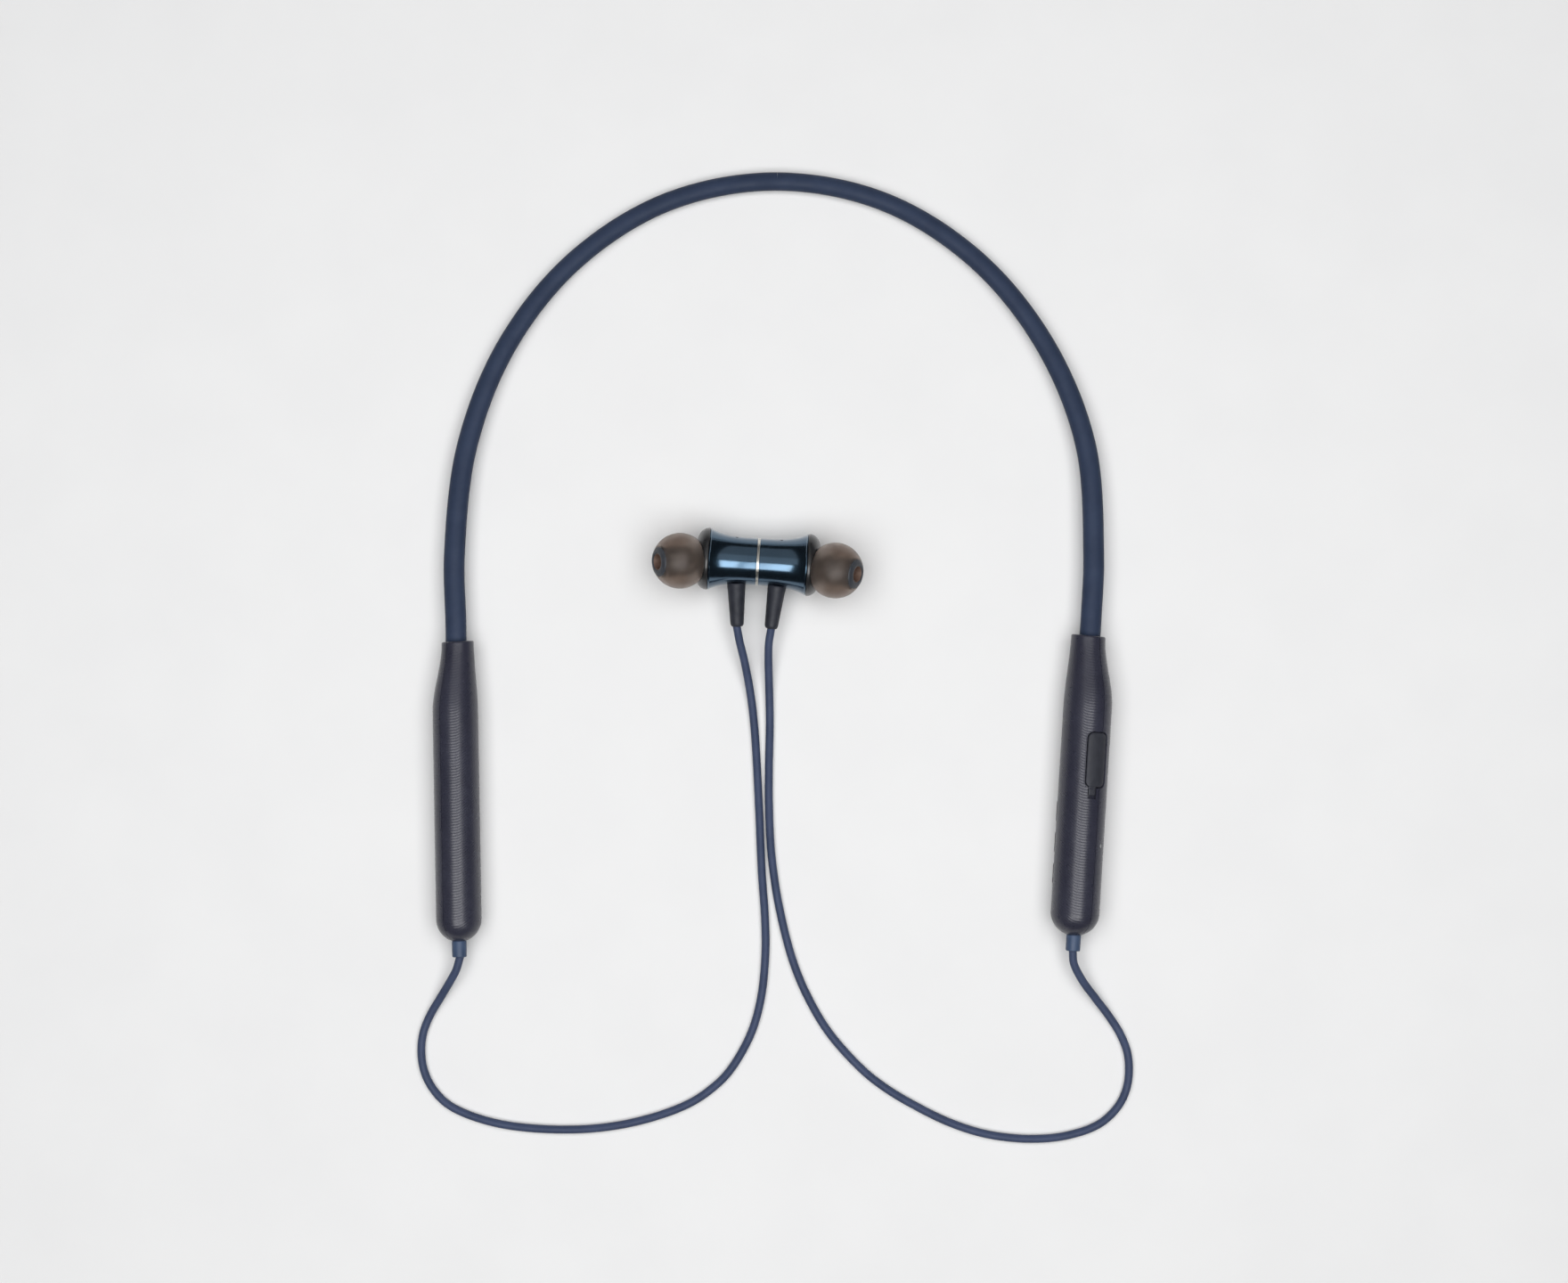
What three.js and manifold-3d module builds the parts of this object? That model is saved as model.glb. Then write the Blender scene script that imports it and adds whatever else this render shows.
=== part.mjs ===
// Neckband earphones: a silicone neckband with a spring wire in it, a battery barrel and a
// control barrel on its ends, and two earbuds on thin cables, held back to back by magnets.
// Millimetres. The set lies flat: +Z is up, z = 0 is the surface it lies on, +Y points to the
// crown of the neckband and +X to the wearer's control side. The origin is under the middle.

import * as THREE from 'three';
import { mergeVertices } from 'three/addons/utils/BufferGeometryUtils.js';
import Module from 'manifold-3d';

// ---- driving dimensions -------------------------------------------------------------------

const clearance = 0.3;            // air left between neighbouring pieces
const roundSides = 24;            // facets round a turned piece
const smallSides = 16;            // facets round a small turned piece
const beyond = 1;                 // how far a cutter reaches past what it cuts
const overTop = 9;                // a height above every barrel's surface

const barrel = {
  length: 67.4,                   // from the round end to the collar's rim
  wall: 1.3,
  endWall: 1.7,                   // thickness round the cable's hole
  endLength: 5.2,                 // length of the rounded end
  taperLength: 16,                // from full size down to the collar
  collarInset: 0.8,               // the collar sits off centre, towards the neck
  rimRound: 0.4,
  seamAngle: 37,                  // degrees from straight up, towards the outside
  boreRadius: 2.75,               // where the neckband plugs in
  boreInset: 0.45,
  boreBottom: 53.5,
};

const grommet = {
  radius: 1.65,
  length: 3.4,
  neckRadius: 1.1,
  flangeRadius: 1.9,
  flangeThickness: 0.9,
  rimRound: 0.25,
};

// Each arm: place of its round end, lean from the Y axis, radii and which way is outside.
const leftArm = { side: -1, end: [-70.5, -85.0], lean: 0.97, radius: 5.1, collarRadius: 3.6 };
const rightArm = { side: 1, end: [67.4, -83.6], lean: -3.49, radius: 5.45, collarRadius: 3.85 };

const sleeve = { width: 4.5, height: 3.6, channelWidth: 3.1, channelHeight: 1.8 };
const sleeveDepth = 7.4;          // length of sleeve plugged into each barrel
const wireRadius = 0.45;
const leadRadius = 0.5;
const strandOffset = 0.75;        // wire and lead lie side by side in the channel

const anchor = { bottom: 54.6, length: 5, radius: 2.4, holeGap: 0.2 };
const bandSteps = 52;

const flap = {
  angle: 26,                      // degrees from straight up, towards the outside
  middle: 39.8,                   // from the barrel's round end
  width: 5.0,
  length: 12.3,
  cornerRadius: 1.4,
  thickness: 0.55,
  tabWidth: 1.8,
  tabLength: 1.7,
  tabShift: -0.8,                 // off the middle, towards the neck
  bossWidth: 1.9,
  bossLength: 7.4,
  bossBottom: 3.0,
};
const pocketDepth = 0.85;

const socket = {
  width: 3.3,
  length: 9,
  bottom: -1,
  top: 3.4,
  wall: 0.35,
  tongueWidth: 0.7,
  tongueLength: 6.6,
};

const keys = {
  angle: -118,
  places: { volume_down: 13.6, play: 20.6, volume_up: 27.6 },
  width: 2.0,
  length: 5.4,
  proud: 0.3,
  flangeBottom: 3.0,
  flangeThickness: 0.4,
  flangeReach: 0.5,
};

const earbud = {
  middle: [-3.4, 0.23, 7.0],
  lean: -3.6,
  backRadius: 5.3,
  frontRadius: 6.9,
  length: 10.9,
  flare: 3.6,                     // how late along its length the housing widens
  wall: 0.7,
  plateThickness: 0.3,
  domeHeight: 2.4,
  domeFlat: 4.0,
};

const nozzle = {
  pivot: 9.42,                    // where the nozzle's axis meets the housing's axis
  rise: 30,                       // degrees up from the housing's axis
  swing: 7,                       // degrees towards the cable
  radius: 2.3,
  barbRadius: 2.6,
  start: 3.2,
  end: 11.0,
  bore: 1.6,
  sides: 20,
};

const tip = {
  radius: 6.2,                    // the skirt's outside is nearly a ball
  middle: 9.2,                    // its centre, along the nozzle's axis from the pivot
  openAngle: -33,                 // from the ball's middle to the open edge, in degrees
  lipAngle: 68.7,                 // and to the lip round the hole
  skirt: 0.8,
  coreRadius: 3.7,
  coreBottom: 6.9,
  holeRadius: 1.65,
};

const boot = {
  place: 4.5,                     // from the mating plane
  lean: 4.5,                      // degrees towards the other earbud
  droop: 8,                       // degrees down
  length: 9,
  topRadius: 2.0,
  endRadius: 1.42,
  tiltGap: 0.15,                  // more air, because the boot's top is tilted
};

const cableRadius = 0.9;
const cableSteps = 52;

// The neckband's centre line, from the left barrel over the crown to the right barrel.
const bandRoute = [
  [-71.6, 1.8, 4.9], [-68.8, 26.4, 4.2], [-60.0, 49.0, 3.2], [-45.0, 68.0, 2.4],
  [-24.3, 81.3, 2.0], [0, 86.1, 1.9], [24.5, 81.7, 2.0], [45.5, 68.6, 2.5],
  [60.9, 49.6, 3.4], [70.1, 26.8, 4.5], [71.9, 1.7, 5.2],
];

// The cables' centre lines, from the barrel's grommet along the surface to the earbud's boot.
const leftCableRoute = [
  [-70.4, -88.7, 5.1], [-71.2, -91.3, 4.7], [-72.9, -94.4, 3.6], [-75.3, -98.3, 2.1],
  [-77.6, -102.2, 1.15], [-79.1, -106.2, 0.95], [-79.5, -110.2, 0.95], [-78.9, -114.4, 0.95],
  [-77.0, -118.4, 0.95], [-73.2, -122.3, 0.95], [-62.8, -126.3, 0.95], [-46.0, -127.8, 0.95],
  [-32.2, -126.3, 0.95], [-19.8, -122.3, 0.95], [-13.6, -118.3, 0.95], [-9.7, -114.3, 0.95],
  [-5.1, -106.2, 0.95], [-2.8, -98.1, 0.95], [-1.8, -88.0, 0.95], [-1.9, -80.0, 0.95],
  [-2.6, -70.0, 0.95], [-3.3, -54.0, 0.95], [-4.2, -38.0, 0.95], [-5.1, -29.8, 1.6],
  [-6.5, -22.0, 3.9], [-7.5, -17.9, 5.2], [-8.1, -14.75, 5.7],
];
const rightCableRoute = [
  [67.2, -87.3, 5.45], [67.4, -89.7, 5.2], [69.4, -93.7, 4.1], [72.5, -97.9, 2.6],
  [75.7, -102.1, 1.4], [78.3, -106.2, 0.95], [79.9, -110.3, 0.95], [80.3, -114.3, 0.95],
  [79.8, -118.3, 0.95], [78.0, -122.3, 0.95], [73.8, -126.4, 0.95], [66.5, -129.1, 0.95],
  [57.7, -129.9, 0.95], [48.0, -128.8, 0.95], [39.8, -126.2, 0.95], [31.6, -122.2, 0.95],
  [25.0, -118.2, 0.95], [20.0, -114.2, 0.95], [12.7, -106.1, 0.95], [7.9, -98.1, 0.95],
  [4.5, -90.0, 0.95], [1.4, -78.0, 0.95], [-0.4, -66.0, 0.95], [-1.0, -54.0, 0.95],
  [-1.0, -46.0, 0.95], [-0.8, -36.0, 0.95], [-0.95, -28.0, 1.7], [-1.1, -21.5, 3.9],
  [-1.0, -18.0, 5.1], [-0.57, -15.25, 5.7],
];

// ---- colours ------------------------------------------------------------------------------

const finishes = {
  navySilicone: { color: 0x3d4763, roughness: 0.6, metalness: 0 },
  darkPlastic: { color: 0x2e2f3b, roughness: 0.45, metalness: 0 },
  blueMetal: { color: 0x24508c, roughness: 0.15, metalness: 1 },
  paleMetal: { color: 0xd8d6cf, roughness: 0.3, metalness: 1 },
  blackRubber: { color: 0x26272b, roughness: 0.7, metalness: 0 },
  coverPlastic: { color: 0x1e1c1b, roughness: 0.35, metalness: 0 },
  smokedSilicone: { color: 0x6e6560, roughness: 0.45, metalness: 0 },
  steel: { color: 0xb0b2b5, roughness: 0.35, metalness: 1 },
  circuitBoard: { color: 0x0f5a3a, roughness: 0.5, metalness: 0 },
  cellWrap: { color: 0x3c6fb0, roughness: 0.4, metalness: 0 },
  foam: { color: 0x202022, roughness: 0.95, metalness: 0 },
  clearPlastic: { color: 0xe6eaf0, roughness: 0.15, metalness: 0 },
  brass: { color: 0xc8a050, roughness: 0.35, metalness: 1 },
};

// ---- solids -------------------------------------------------------------------------------

const wasm = await Module();
wasm.setup();

const degrees = THREE.MathUtils.degToRad;

function solidOf(geometry) {
  const bare = geometry.clone();
  bare.deleteAttribute('normal');
  bare.deleteAttribute('uv');
  const merged = mergeVertices(bare, 1e-4);
  return new wasm.Manifold(new wasm.Mesh({
    numProp: 3,
    vertProperties: new Float32Array(merged.attributes.position.array),
    triVerts: new Uint32Array(merged.index.array),
  }));
}

function geometryOf(solid) {
  const mesh = solid.getMesh();
  const geometry = new THREE.BufferGeometry();
  geometry.setAttribute('position', new THREE.BufferAttribute(new Float32Array(mesh.vertProperties), 3));
  geometry.setIndex(new THREE.BufferAttribute(new Uint32Array(mesh.triVerts), 1));
  geometry.computeVertexNormals();
  return geometry;
}

function cut(geometry, ...cutters) {
  let solid = solidOf(geometry);
  for (const cutter of cutters) {
    solid = solid.subtract(solidOf(cutter));
  }
  return geometryOf(solid);
}

function join(geometry, ...additions) {
  let solid = solidOf(geometry);
  for (const addition of additions) {
    solid = solid.add(solidOf(addition));
  }
  return geometryOf(solid);
}

function common(first, second) {
  return geometryOf(solidOf(first).intersect(solidOf(second)));
}

// A solid of revolution about Y from [radius, height] pairs that start and end on the axis.
function turned(profile, sides = roundSides) {
  return new THREE.LatheGeometry(profile.map(([r, y]) => new THREE.Vector2(r, y)), sides);
}

// The same for a ring, whose profile closes on itself away from the axis.
function turnedRing(profile, sides = roundSides) {
  return turned([...profile, profile[0]], sides);
}

function rod(radius, from, to, sides = smallSides) {
  return turned([[0, from], [radius, from], [radius, to], [0, to]], sides);
}

// A box by its middle and size; its edges follow the axes.
function block(width, length, height, x = 0, y = 0, z = 0) {
  return new THREE.BoxGeometry(width, length, height).translate(x, y, z);
}

// A rounded rectangle in the XY plane, pushed up along Z.
function pad(width, length, corner, bottom, top, y = 0) {
  const right = width / 2;
  const far = length / 2;
  const shape = new THREE.Shape();
  shape.moveTo(right, -far + corner);
  shape.absarc(right - corner, far - corner, corner, 0, Math.PI / 2);
  shape.absarc(-right + corner, far - corner, corner, Math.PI / 2, Math.PI);
  shape.absarc(-right + corner, -far + corner, corner, Math.PI, 1.5 * Math.PI);
  shape.absarc(right - corner, -far + corner, corner, 1.5 * Math.PI, 2 * Math.PI);
  const options = { depth: top - bottom, bevelEnabled: false, curveSegments: 3 };
  return new THREE.ExtrudeGeometry(shape, options).translate(0, y, bottom);
}

// An ellipse for a swept section; "up" stays vertical along a level path.
function oval(up, across, sides, shift = 0) {
  const points = [];
  for (let i = 0; i < sides; i += 1) {
    const turn = 2 * Math.PI * i / sides;
    points.push(new THREE.Vector2(up / 2 * Math.cos(turn), shift + across / 2 * Math.sin(turn)));
  }
  return points;
}

function swept(section, route, steps, hole = null) {
  const points = route.map((point) => new THREE.Vector3(...point));
  const path = new THREE.CatmullRomCurve3(points, false, 'centripetal');
  const shape = new THREE.Shape(section);
  if (hole) {
    shape.holes.push(new THREE.Path(hole));
  }
  return new THREE.ExtrudeGeometry(shape, { steps, extrudePath: path });
}

function smoothstep(value) {
  const t = THREE.MathUtils.clamp(value, 0, 1);
  return t * t * (3 - 2 * t);
}

// Slides each level of a turned solid sideways by offset(y).
function shifted(geometry, offset) {
  const place = geometry.attributes.position;
  for (let i = 0; i < place.count; i += 1) {
    place.setX(i, place.getX(i) + offset(place.getY(i)));
  }
  return geometry;
}

function named(name, finish, geometry) {
  const mesh = new THREE.Mesh(geometry, new THREE.MeshStandardMaterial(finishes[finish]));
  mesh.name = name;
  return mesh;
}

function group(...children) {
  const holder = new THREE.Group();
  holder.add(...children);
  return holder;
}

// ---- barrel shells ------------------------------------------------------------------------

function barrelOutline(arm) {
  const outline = [];
  const endSteps = 6;
  for (let i = 0; i <= endSteps; i += 1) {
    const turn = Math.PI / 2 * i / endSteps;
    outline.push([arm.radius * Math.sin(turn), barrel.endLength * (1 - Math.cos(turn))]);
  }
  const taperSteps = 7;
  const taperBottom = barrel.length - barrel.taperLength;
  for (let i = 0; i <= taperSteps; i += 1) {
    const part = i / taperSteps;
    const y = taperBottom + (barrel.taperLength - barrel.rimRound) * part;
    outline.push([arm.radius + (arm.collarRadius - arm.radius) * smoothstep(part), y]);
  }
  outline.push([arm.collarRadius - barrel.rimRound, barrel.length], [0, barrel.length]);
  return outline;
}

function chamberOutline(arm) {
  const inside = arm.radius - barrel.wall;
  const hole = grommet.neckRadius + clearance;
  const floor = barrel.endWall;
  const shoulder = barrel.endLength + 0.6;
  const funnel = 2;
  return [
    [0, -beyond], [hole, -beyond], [hole, floor], [grommet.flangeRadius + 0.5, floor],
    [inside * 0.8, floor + 1.2], [inside, shoulder],
    [inside, barrel.boreBottom - funnel], [barrel.boreRadius, barrel.boreBottom],
    [barrel.boreRadius, barrel.boreBottom + 1], [barrel.boreRadius, barrel.length + beyond],
    [0, barrel.length + beyond],
  ];
}

function hollowBarrel(arm) {
  const taperBottom = barrel.length - barrel.taperLength;
  const halfFacet = Math.PI / roundSides;
  const outside = shifted(turned(barrelOutline(arm)).rotateY(halfFacet), (y) => (
    -arm.side * barrel.collarInset * smoothstep((y - taperBottom) / barrel.taperLength)));
  const inside = shifted(turned(chamberOutline(arm)).rotateY(halfFacet), (y) => (
    -arm.side * barrel.boreInset * smoothstep(y - barrel.boreBottom + 1)));
  return cut(outside, inside);
}

// Turns something made about straight up so that it faces out at an angle of the barrel.
function facing(arm, angle, geometry) {
  return geometry.rotateY(arm.side * degrees(angle));
}

// Everything on one side of the seam, as a block; facingIn picks the half next to the neck.
function halfSpace(arm, facingIn) {
  const size = 200;
  const turn = facingIn ? barrel.seamAngle - 90 : barrel.seamAngle + 90;
  return facing(arm, turn, block(size, size, size, 0, 0, size / 2 + clearance / 2));
}

function pocketCutter(arm) {
  const floor = arm.radius - pocketDepth;
  const grow = 2 * clearance;
  const corner = flap.cornerRadius + clearance;
  const room = pad(flap.width + grow, flap.length + grow, corner, 0, overTop, flap.middle);
  const slotLength = flap.tabLength + grow + 0.1;
  const slotMiddle = flap.middle - flap.length / 2 - slotLength / 2 + clearance;
  const slot = block(flap.tabWidth + grow, slotLength + grow, overTop,
    flap.tabShift, slotMiddle, overTop / 2);
  const core = rod(floor, 0, barrel.length, roundSides);
  const window = block(flap.bossWidth + grow, socket.length - 2 * socket.wall, overTop,
    0, flap.middle, overTop / 2);
  return facing(arm, flap.angle, join(cut(join(room, slot), core), window));
}

const chamberInside = 2;          // a height well inside the control barrel's chamber

function keyWindows(arm) {
  const grow = 2 * clearance;
  const corner = keys.width / 2 + clearance - 0.01;
  const windows = Object.values(keys.places).map((place) => (
    pad(keys.width + grow, keys.length + grow, corner, chamberInside, overTop, place)));
  return windows.map((window) => facing(arm, keys.angle, window));
}

const microphonePlace = 8.3;
const lightPlace = 20.6;
const lightAngle = 57;
const portRadius = 0.45;
const portSides = 10;

function portCutter(arm, angle, place) {
  const port = rod(portRadius + clearance, chamberInside, overTop, portSides)
    .rotateX(Math.PI / 2)
    .translate(0, place, 0);
  return facing(arm, angle, port);
}

function shells(arm, name, extraCutters) {
  const whole = extraCutters.length ? cut(hollowBarrel(arm), ...extraCutters) : hollowBarrel(arm);
  return [
    named(`${name}_inner_shell`, 'darkPlastic', common(whole, halfSpace(arm, true))),
    named(`${name}_outer_shell`, 'darkPlastic', common(whole, halfSpace(arm, false))),
  ];
}

// ---- pieces in both barrels ---------------------------------------------------------------

function cableGrommet() {
  const inside = barrel.endWall + clearance;
  const top = inside + grommet.flangeThickness;
  return turned([
    [0, -grommet.length], [grommet.radius - grommet.rimRound, -grommet.length],
    [grommet.radius, -grommet.length + grommet.rimRound], [grommet.radius, -clearance],
    [grommet.neckRadius, -clearance], [grommet.neckRadius, inside],
    [grommet.flangeRadius, inside], [grommet.flangeRadius, top], [0, top],
  ], smallSides);
}

// A block that holds the spring wire's end and lets the lead pass.
function wireAnchor(arm) {
  const shape = new THREE.Shape();
  shape.absarc(0, 0, anchor.radius, 0, 2 * Math.PI);
  for (const [offset, radius] of [[-strandOffset, wireRadius], [strandOffset, leadRadius]]) {
    const hole = new THREE.Path();
    hole.absarc(offset, 0, radius + anchor.holeGap, 0, 2 * Math.PI);
    shape.holes.push(hole);
  }
  const options = { depth: anchor.length, bevelEnabled: false, curveSegments: 8 };
  return new THREE.ExtrudeGeometry(shape, options)
    .rotateX(-Math.PI / 2)
    .translate(-arm.side * barrel.boreInset, anchor.bottom, 0);
}

// ---- neckband -----------------------------------------------------------------------------

// A point in a barrel, by its height up the barrel, on the axis of the neckband's bore.
function inBore(arm, height) {
  const lean = degrees(arm.lean);
  const across = -arm.side * barrel.boreInset;
  return [
    arm.end[0] + across * Math.cos(lean) - height * Math.sin(lean),
    arm.end[1] + across * Math.sin(lean) + height * Math.cos(lean),
    arm.radius,
  ];
}

function bandPath(depth) {
  const deepest = barrel.length - depth;
  const heights = [deepest, (deepest + barrel.length) / 2, barrel.length, barrel.length + 5];
  return [
    ...heights.map((height) => inBore(leftArm, height)),
    ...bandRoute,
    ...heights.map((height) => inBore(rightArm, height)).reverse(),
  ];
}

function neckband() {
  const outline = oval(sleeve.height, sleeve.width, 12);
  const channel = oval(sleeve.channelHeight, sleeve.channelWidth, 8);
  const strand = (radius, shift) => oval(2 * radius, 2 * radius, 6, shift);
  const strandPath = bandPath(barrel.length - anchor.bottom + 1);
  return group(
    named('neckband_sleeve', 'navySilicone', swept(outline, bandPath(sleeveDepth), bandSteps, channel)),
    named('memory_wire', 'steel', swept(strand(wireRadius, -strandOffset), strandPath, bandSteps)),
    named('bridge_lead', 'blackRubber', swept(strand(leadRadius, strandOffset), strandPath, bandSteps)),
  );
}

// ---- battery barrel -----------------------------------------------------------------------

function placedArm(arm, meshes) {
  const holder = group(...meshes);
  holder.position.set(arm.end[0], arm.end[1], arm.radius);
  holder.rotation.z = degrees(arm.lean);
  return holder;
}

const cell = { radius: 3.3, bottom: 6.5, top: 44, edge: 0.3 };
const foamTop = cell.top + 1.5;
const cellBoard = { width: 5, length: 4, thickness: 0.8, middle: cell.top + 4 };

function batteryBarrel() {
  const shoulder = cell.radius - cell.edge;
  const battery = turned([
    [0, cell.bottom], [shoulder, cell.bottom], [cell.radius, cell.bottom + cell.edge],
    [cell.radius, cell.top - cell.edge], [shoulder, cell.top], [0, cell.top],
  ], smallSides);
  return placedArm(leftArm, [
    ...shells(leftArm, 'left', []),
    named('battery', 'cellWrap', battery),
    named('battery_foam', 'foam', rod(cell.radius, cell.top + clearance, foamTop)),
    named('protection_board', 'circuitBoard',
      block(cellBoard.width, cellBoard.length, cellBoard.thickness, 0, cellBoard.middle, 0)),
    named('left_wire_anchor', 'brass', wireAnchor(leftArm)),
    named('left_cable_grommet', 'navySilicone', cableGrommet()),
  ]);
}

// ---- control barrel -----------------------------------------------------------------------

// The boards and what sits on them: sizes, middle along the barrel and height above its axis.
const board = { width: 6.2, length: 25, thickness: 0.8, middle: 19.5, height: 1.3 };
const shield = { width: 4.6, length: 8, thickness: 1.2, middle: 27.4, height: 0 };
const led = { width: 1.0, length: 1.6, thickness: 0.9, middle: lightPlace, height: 0.1 };
const microphone = { width: 2.2, length: 2.2, thickness: 0.9, middle: microphonePlace, height: 2.5 };
const keySwitch = { width: 2.4, length: 3, thickness: 0.6, height: 2.3 };
const usbBoard = { width: 6.0, length: 15, thickness: 0.8, middle: 40.8, height: -1.7 };
const lightPipe = { bottom: 1.2, sunk: 0.05 };

function onBoard(arm, angle, item, middle = item.middle) {
  const chip = block(item.width, item.length, item.thickness, 0, middle, item.height);
  return facing(arm, angle, chip);
}

const skinSides = 48;

function flapPiece(arm) {
  const inside = arm.radius - flap.thickness;
  const lid = pad(flap.width, flap.length, flap.cornerRadius, 0, overTop, flap.middle);
  const lidEnd = flap.middle - flap.length / 2;
  const overlap = 1;
  const tabMiddle = lidEnd - flap.tabLength / 2 + overlap / 2;
  const tab = block(flap.tabWidth, flap.tabLength + overlap, overTop,
    flap.tabShift, tabMiddle, overTop / 2);
  const skin = cut(
    rod(arm.radius, 0, barrel.length, skinSides),
    rod(inside, -beyond, barrel.length + beyond, skinSides));
  const bossHeight = inside + 0.2 - flap.bossBottom;
  const boss = block(flap.bossWidth, flap.bossLength, bossHeight, 0, flap.middle,
    flap.bossBottom + bossHeight / 2);
  return facing(arm, flap.angle, join(common(join(lid, tab), skin), boss));
}

function socketPiece(arm) {
  const roundEnd = socket.width / 2 - 0.01;
  const can = pad(socket.width, socket.length, roundEnd, socket.bottom, socket.top, flap.middle);
  const mouthWidth = socket.width - 2 * socket.wall;
  const mouthLength = socket.length - 2 * socket.wall;
  const mouthBottom = socket.bottom + (socket.top - socket.bottom) / 4;
  const mouth = pad(mouthWidth, mouthLength, mouthWidth / 2 - 0.01,
    mouthBottom, socket.top + beyond, flap.middle);
  const tongue = pad(socket.tongueWidth, socket.tongueLength, 0.3,
    mouthBottom - 0.1, flap.bossBottom - clearance, flap.middle);
  return facing(arm, flap.angle, join(cut(can, mouth), tongue));
}

function keyCap(arm, place) {
  const roundEnd = keys.width / 2 - 0.01;
  const top = arm.radius + keys.proud;
  const cap = pad(keys.width, keys.length, roundEnd, keys.flangeBottom, top, place);
  const reach = 2 * keys.flangeReach;
  const flange = pad(keys.width + reach, keys.length + reach, keys.width / 2,
    keys.flangeBottom, keys.flangeBottom + keys.flangeThickness, place);
  return facing(arm, keys.angle, join(cap, flange));
}

function controlBarrel() {
  const arm = rightArm;
  const cutters = [
    pocketCutter(arm), ...keyWindows(arm),
    portCutter(arm, keys.angle, microphonePlace), portCutter(arm, lightAngle, lightPlace),
  ];
  const pipe = rod(portRadius, lightPipe.bottom, arm.radius - lightPipe.sunk, portSides)
    .rotateX(Math.PI / 2)
    .translate(0, lightPlace, 0);
  const pieces = [
    ...shells(arm, 'right', cutters),
    named('main_board', 'circuitBoard', onBoard(arm, keys.angle, board)),
    named('shield_can', 'steel', onBoard(arm, keys.angle, shield)),
    named('status_led', 'clearPlastic', onBoard(arm, keys.angle, led)),
    named('light_pipe', 'clearPlastic', facing(arm, lightAngle, pipe)),
    named('microphone', 'steel', onBoard(arm, keys.angle, microphone)),
    named('usb_board', 'circuitBoard', onBoard(arm, flap.angle, usbBoard)),
    named('usb_socket', 'steel', socketPiece(arm)),
    named('usb_flap', 'blackRubber', flapPiece(arm)),
    named('right_wire_anchor', 'brass', wireAnchor(arm)),
    named('right_cable_grommet', 'navySilicone', cableGrommet()),
  ];
  for (const [use, place] of Object.entries(keys.places)) {
    pieces.push(
      named(`${use}_switch`, 'steel', onBoard(arm, keys.angle, keySwitch, place)),
      named(`${use}_key`, 'darkPlastic', keyCap(arm, place)),
    );
  }
  return placedArm(arm, pieces);
}

// ---- earbuds ------------------------------------------------------------------------------

// The housing's waisted outline: its radius at a distance from the mating face.
function housingRadius(place) {
  const flare = (place / earbud.length) ** earbud.flare;
  return earbud.backRadius + (earbud.frontRadius - earbud.backRadius) * flare;
}

function housingRing() {
  const back = earbud.plateThickness + 2 * clearance;
  const steps = 7;
  const outside = [];
  for (let i = 0; i <= steps; i += 1) {
    const place = back + (earbud.length - back) * i / steps;
    outside.push([housingRadius(place), place]);
  }
  const inside = outside.filter((point, i) => i % 3 === 1 || i === 0 || i === steps)
    .map(([r, y]) => [r - earbud.wall, y])
    .reverse();
  return turnedRing([...outside, ...inside]);
}

function backPlate() {
  const face = clearance / 2;
  const bevel = 0.15;
  const step = face + earbud.plateThickness;
  const spigot = earbud.backRadius - earbud.wall - clearance;
  const spigotLength = 1;
  return turned([
    [0, face], [earbud.backRadius - bevel, face], [earbud.backRadius, face + bevel],
    [earbud.backRadius, step], [spigot, step], [spigot, step + spigotLength], [0, step + spigotLength],
  ]);
}

function domeSteps(radius, flat, bottom, height, steps) {
  const points = [];
  for (let i = 0; i <= steps; i += 1) {
    const turn = Math.PI / 2 * i / steps;
    points.push([flat + (radius - flat) * Math.cos(turn), bottom + height * Math.sin(turn)]);
  }
  return points;
}

// Direction of the nozzle for one side, from the housing's axis.
function nozzleDirection(side) {
  const rise = degrees(nozzle.rise);
  const swing = degrees(nozzle.swing);
  return new THREE.Vector3(
    side * Math.cos(rise) * Math.cos(swing), -Math.cos(rise) * Math.sin(swing), Math.sin(rise));
}

const lengthwise = new THREE.Vector3(0, 1, 0);

// Moves a piece turned about Y onto the nozzle's axis of one earbud.
function onNozzle(side, geometry) {
  const turn = new THREE.Quaternion().setFromUnitVectors(lengthwise, nozzleDirection(side));
  return geometry.applyQuaternion(turn).translate(side * nozzle.pivot, 0, 0);
}

// Moves a piece turned about Y onto the housing's axis.
function onAxis(side, geometry) {
  return geometry.rotateZ(-side * Math.PI / 2);
}

function frontCover(side) {
  const base = earbud.length + clearance;
  const rimRadius = earbud.frontRadius + 0.05;
  const top = base + earbud.domeHeight;
  const dome = turned([
    [0, base], ...domeSteps(rimRadius, earbud.domeFlat, base, earbud.domeHeight, 4), [0, top + 0.3]]);
  const hollowRadius = 5.9;
  const hollow = turned([
    [0, base - beyond], [hollowRadius, base - beyond], [hollowRadius, base + 0.6],
    [3.4, base + 1.5], [0, base + 1.6]]);
  const tube = turned([
    [0, nozzle.start], [nozzle.radius, nozzle.start], [nozzle.radius, nozzle.end - 1.6],
    [nozzle.barbRadius, nozzle.end - 1.2], [nozzle.radius, nozzle.end], [0, nozzle.end],
  ], nozzle.sides);
  const bore = rod(nozzle.bore, nozzle.start - 0.6, nozzle.end + beyond);
  const body = join(onAxis(side, dome), onNozzle(side, tube));
  return cut(body, onAxis(side, hollow), onNozzle(side, bore));
}

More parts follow.
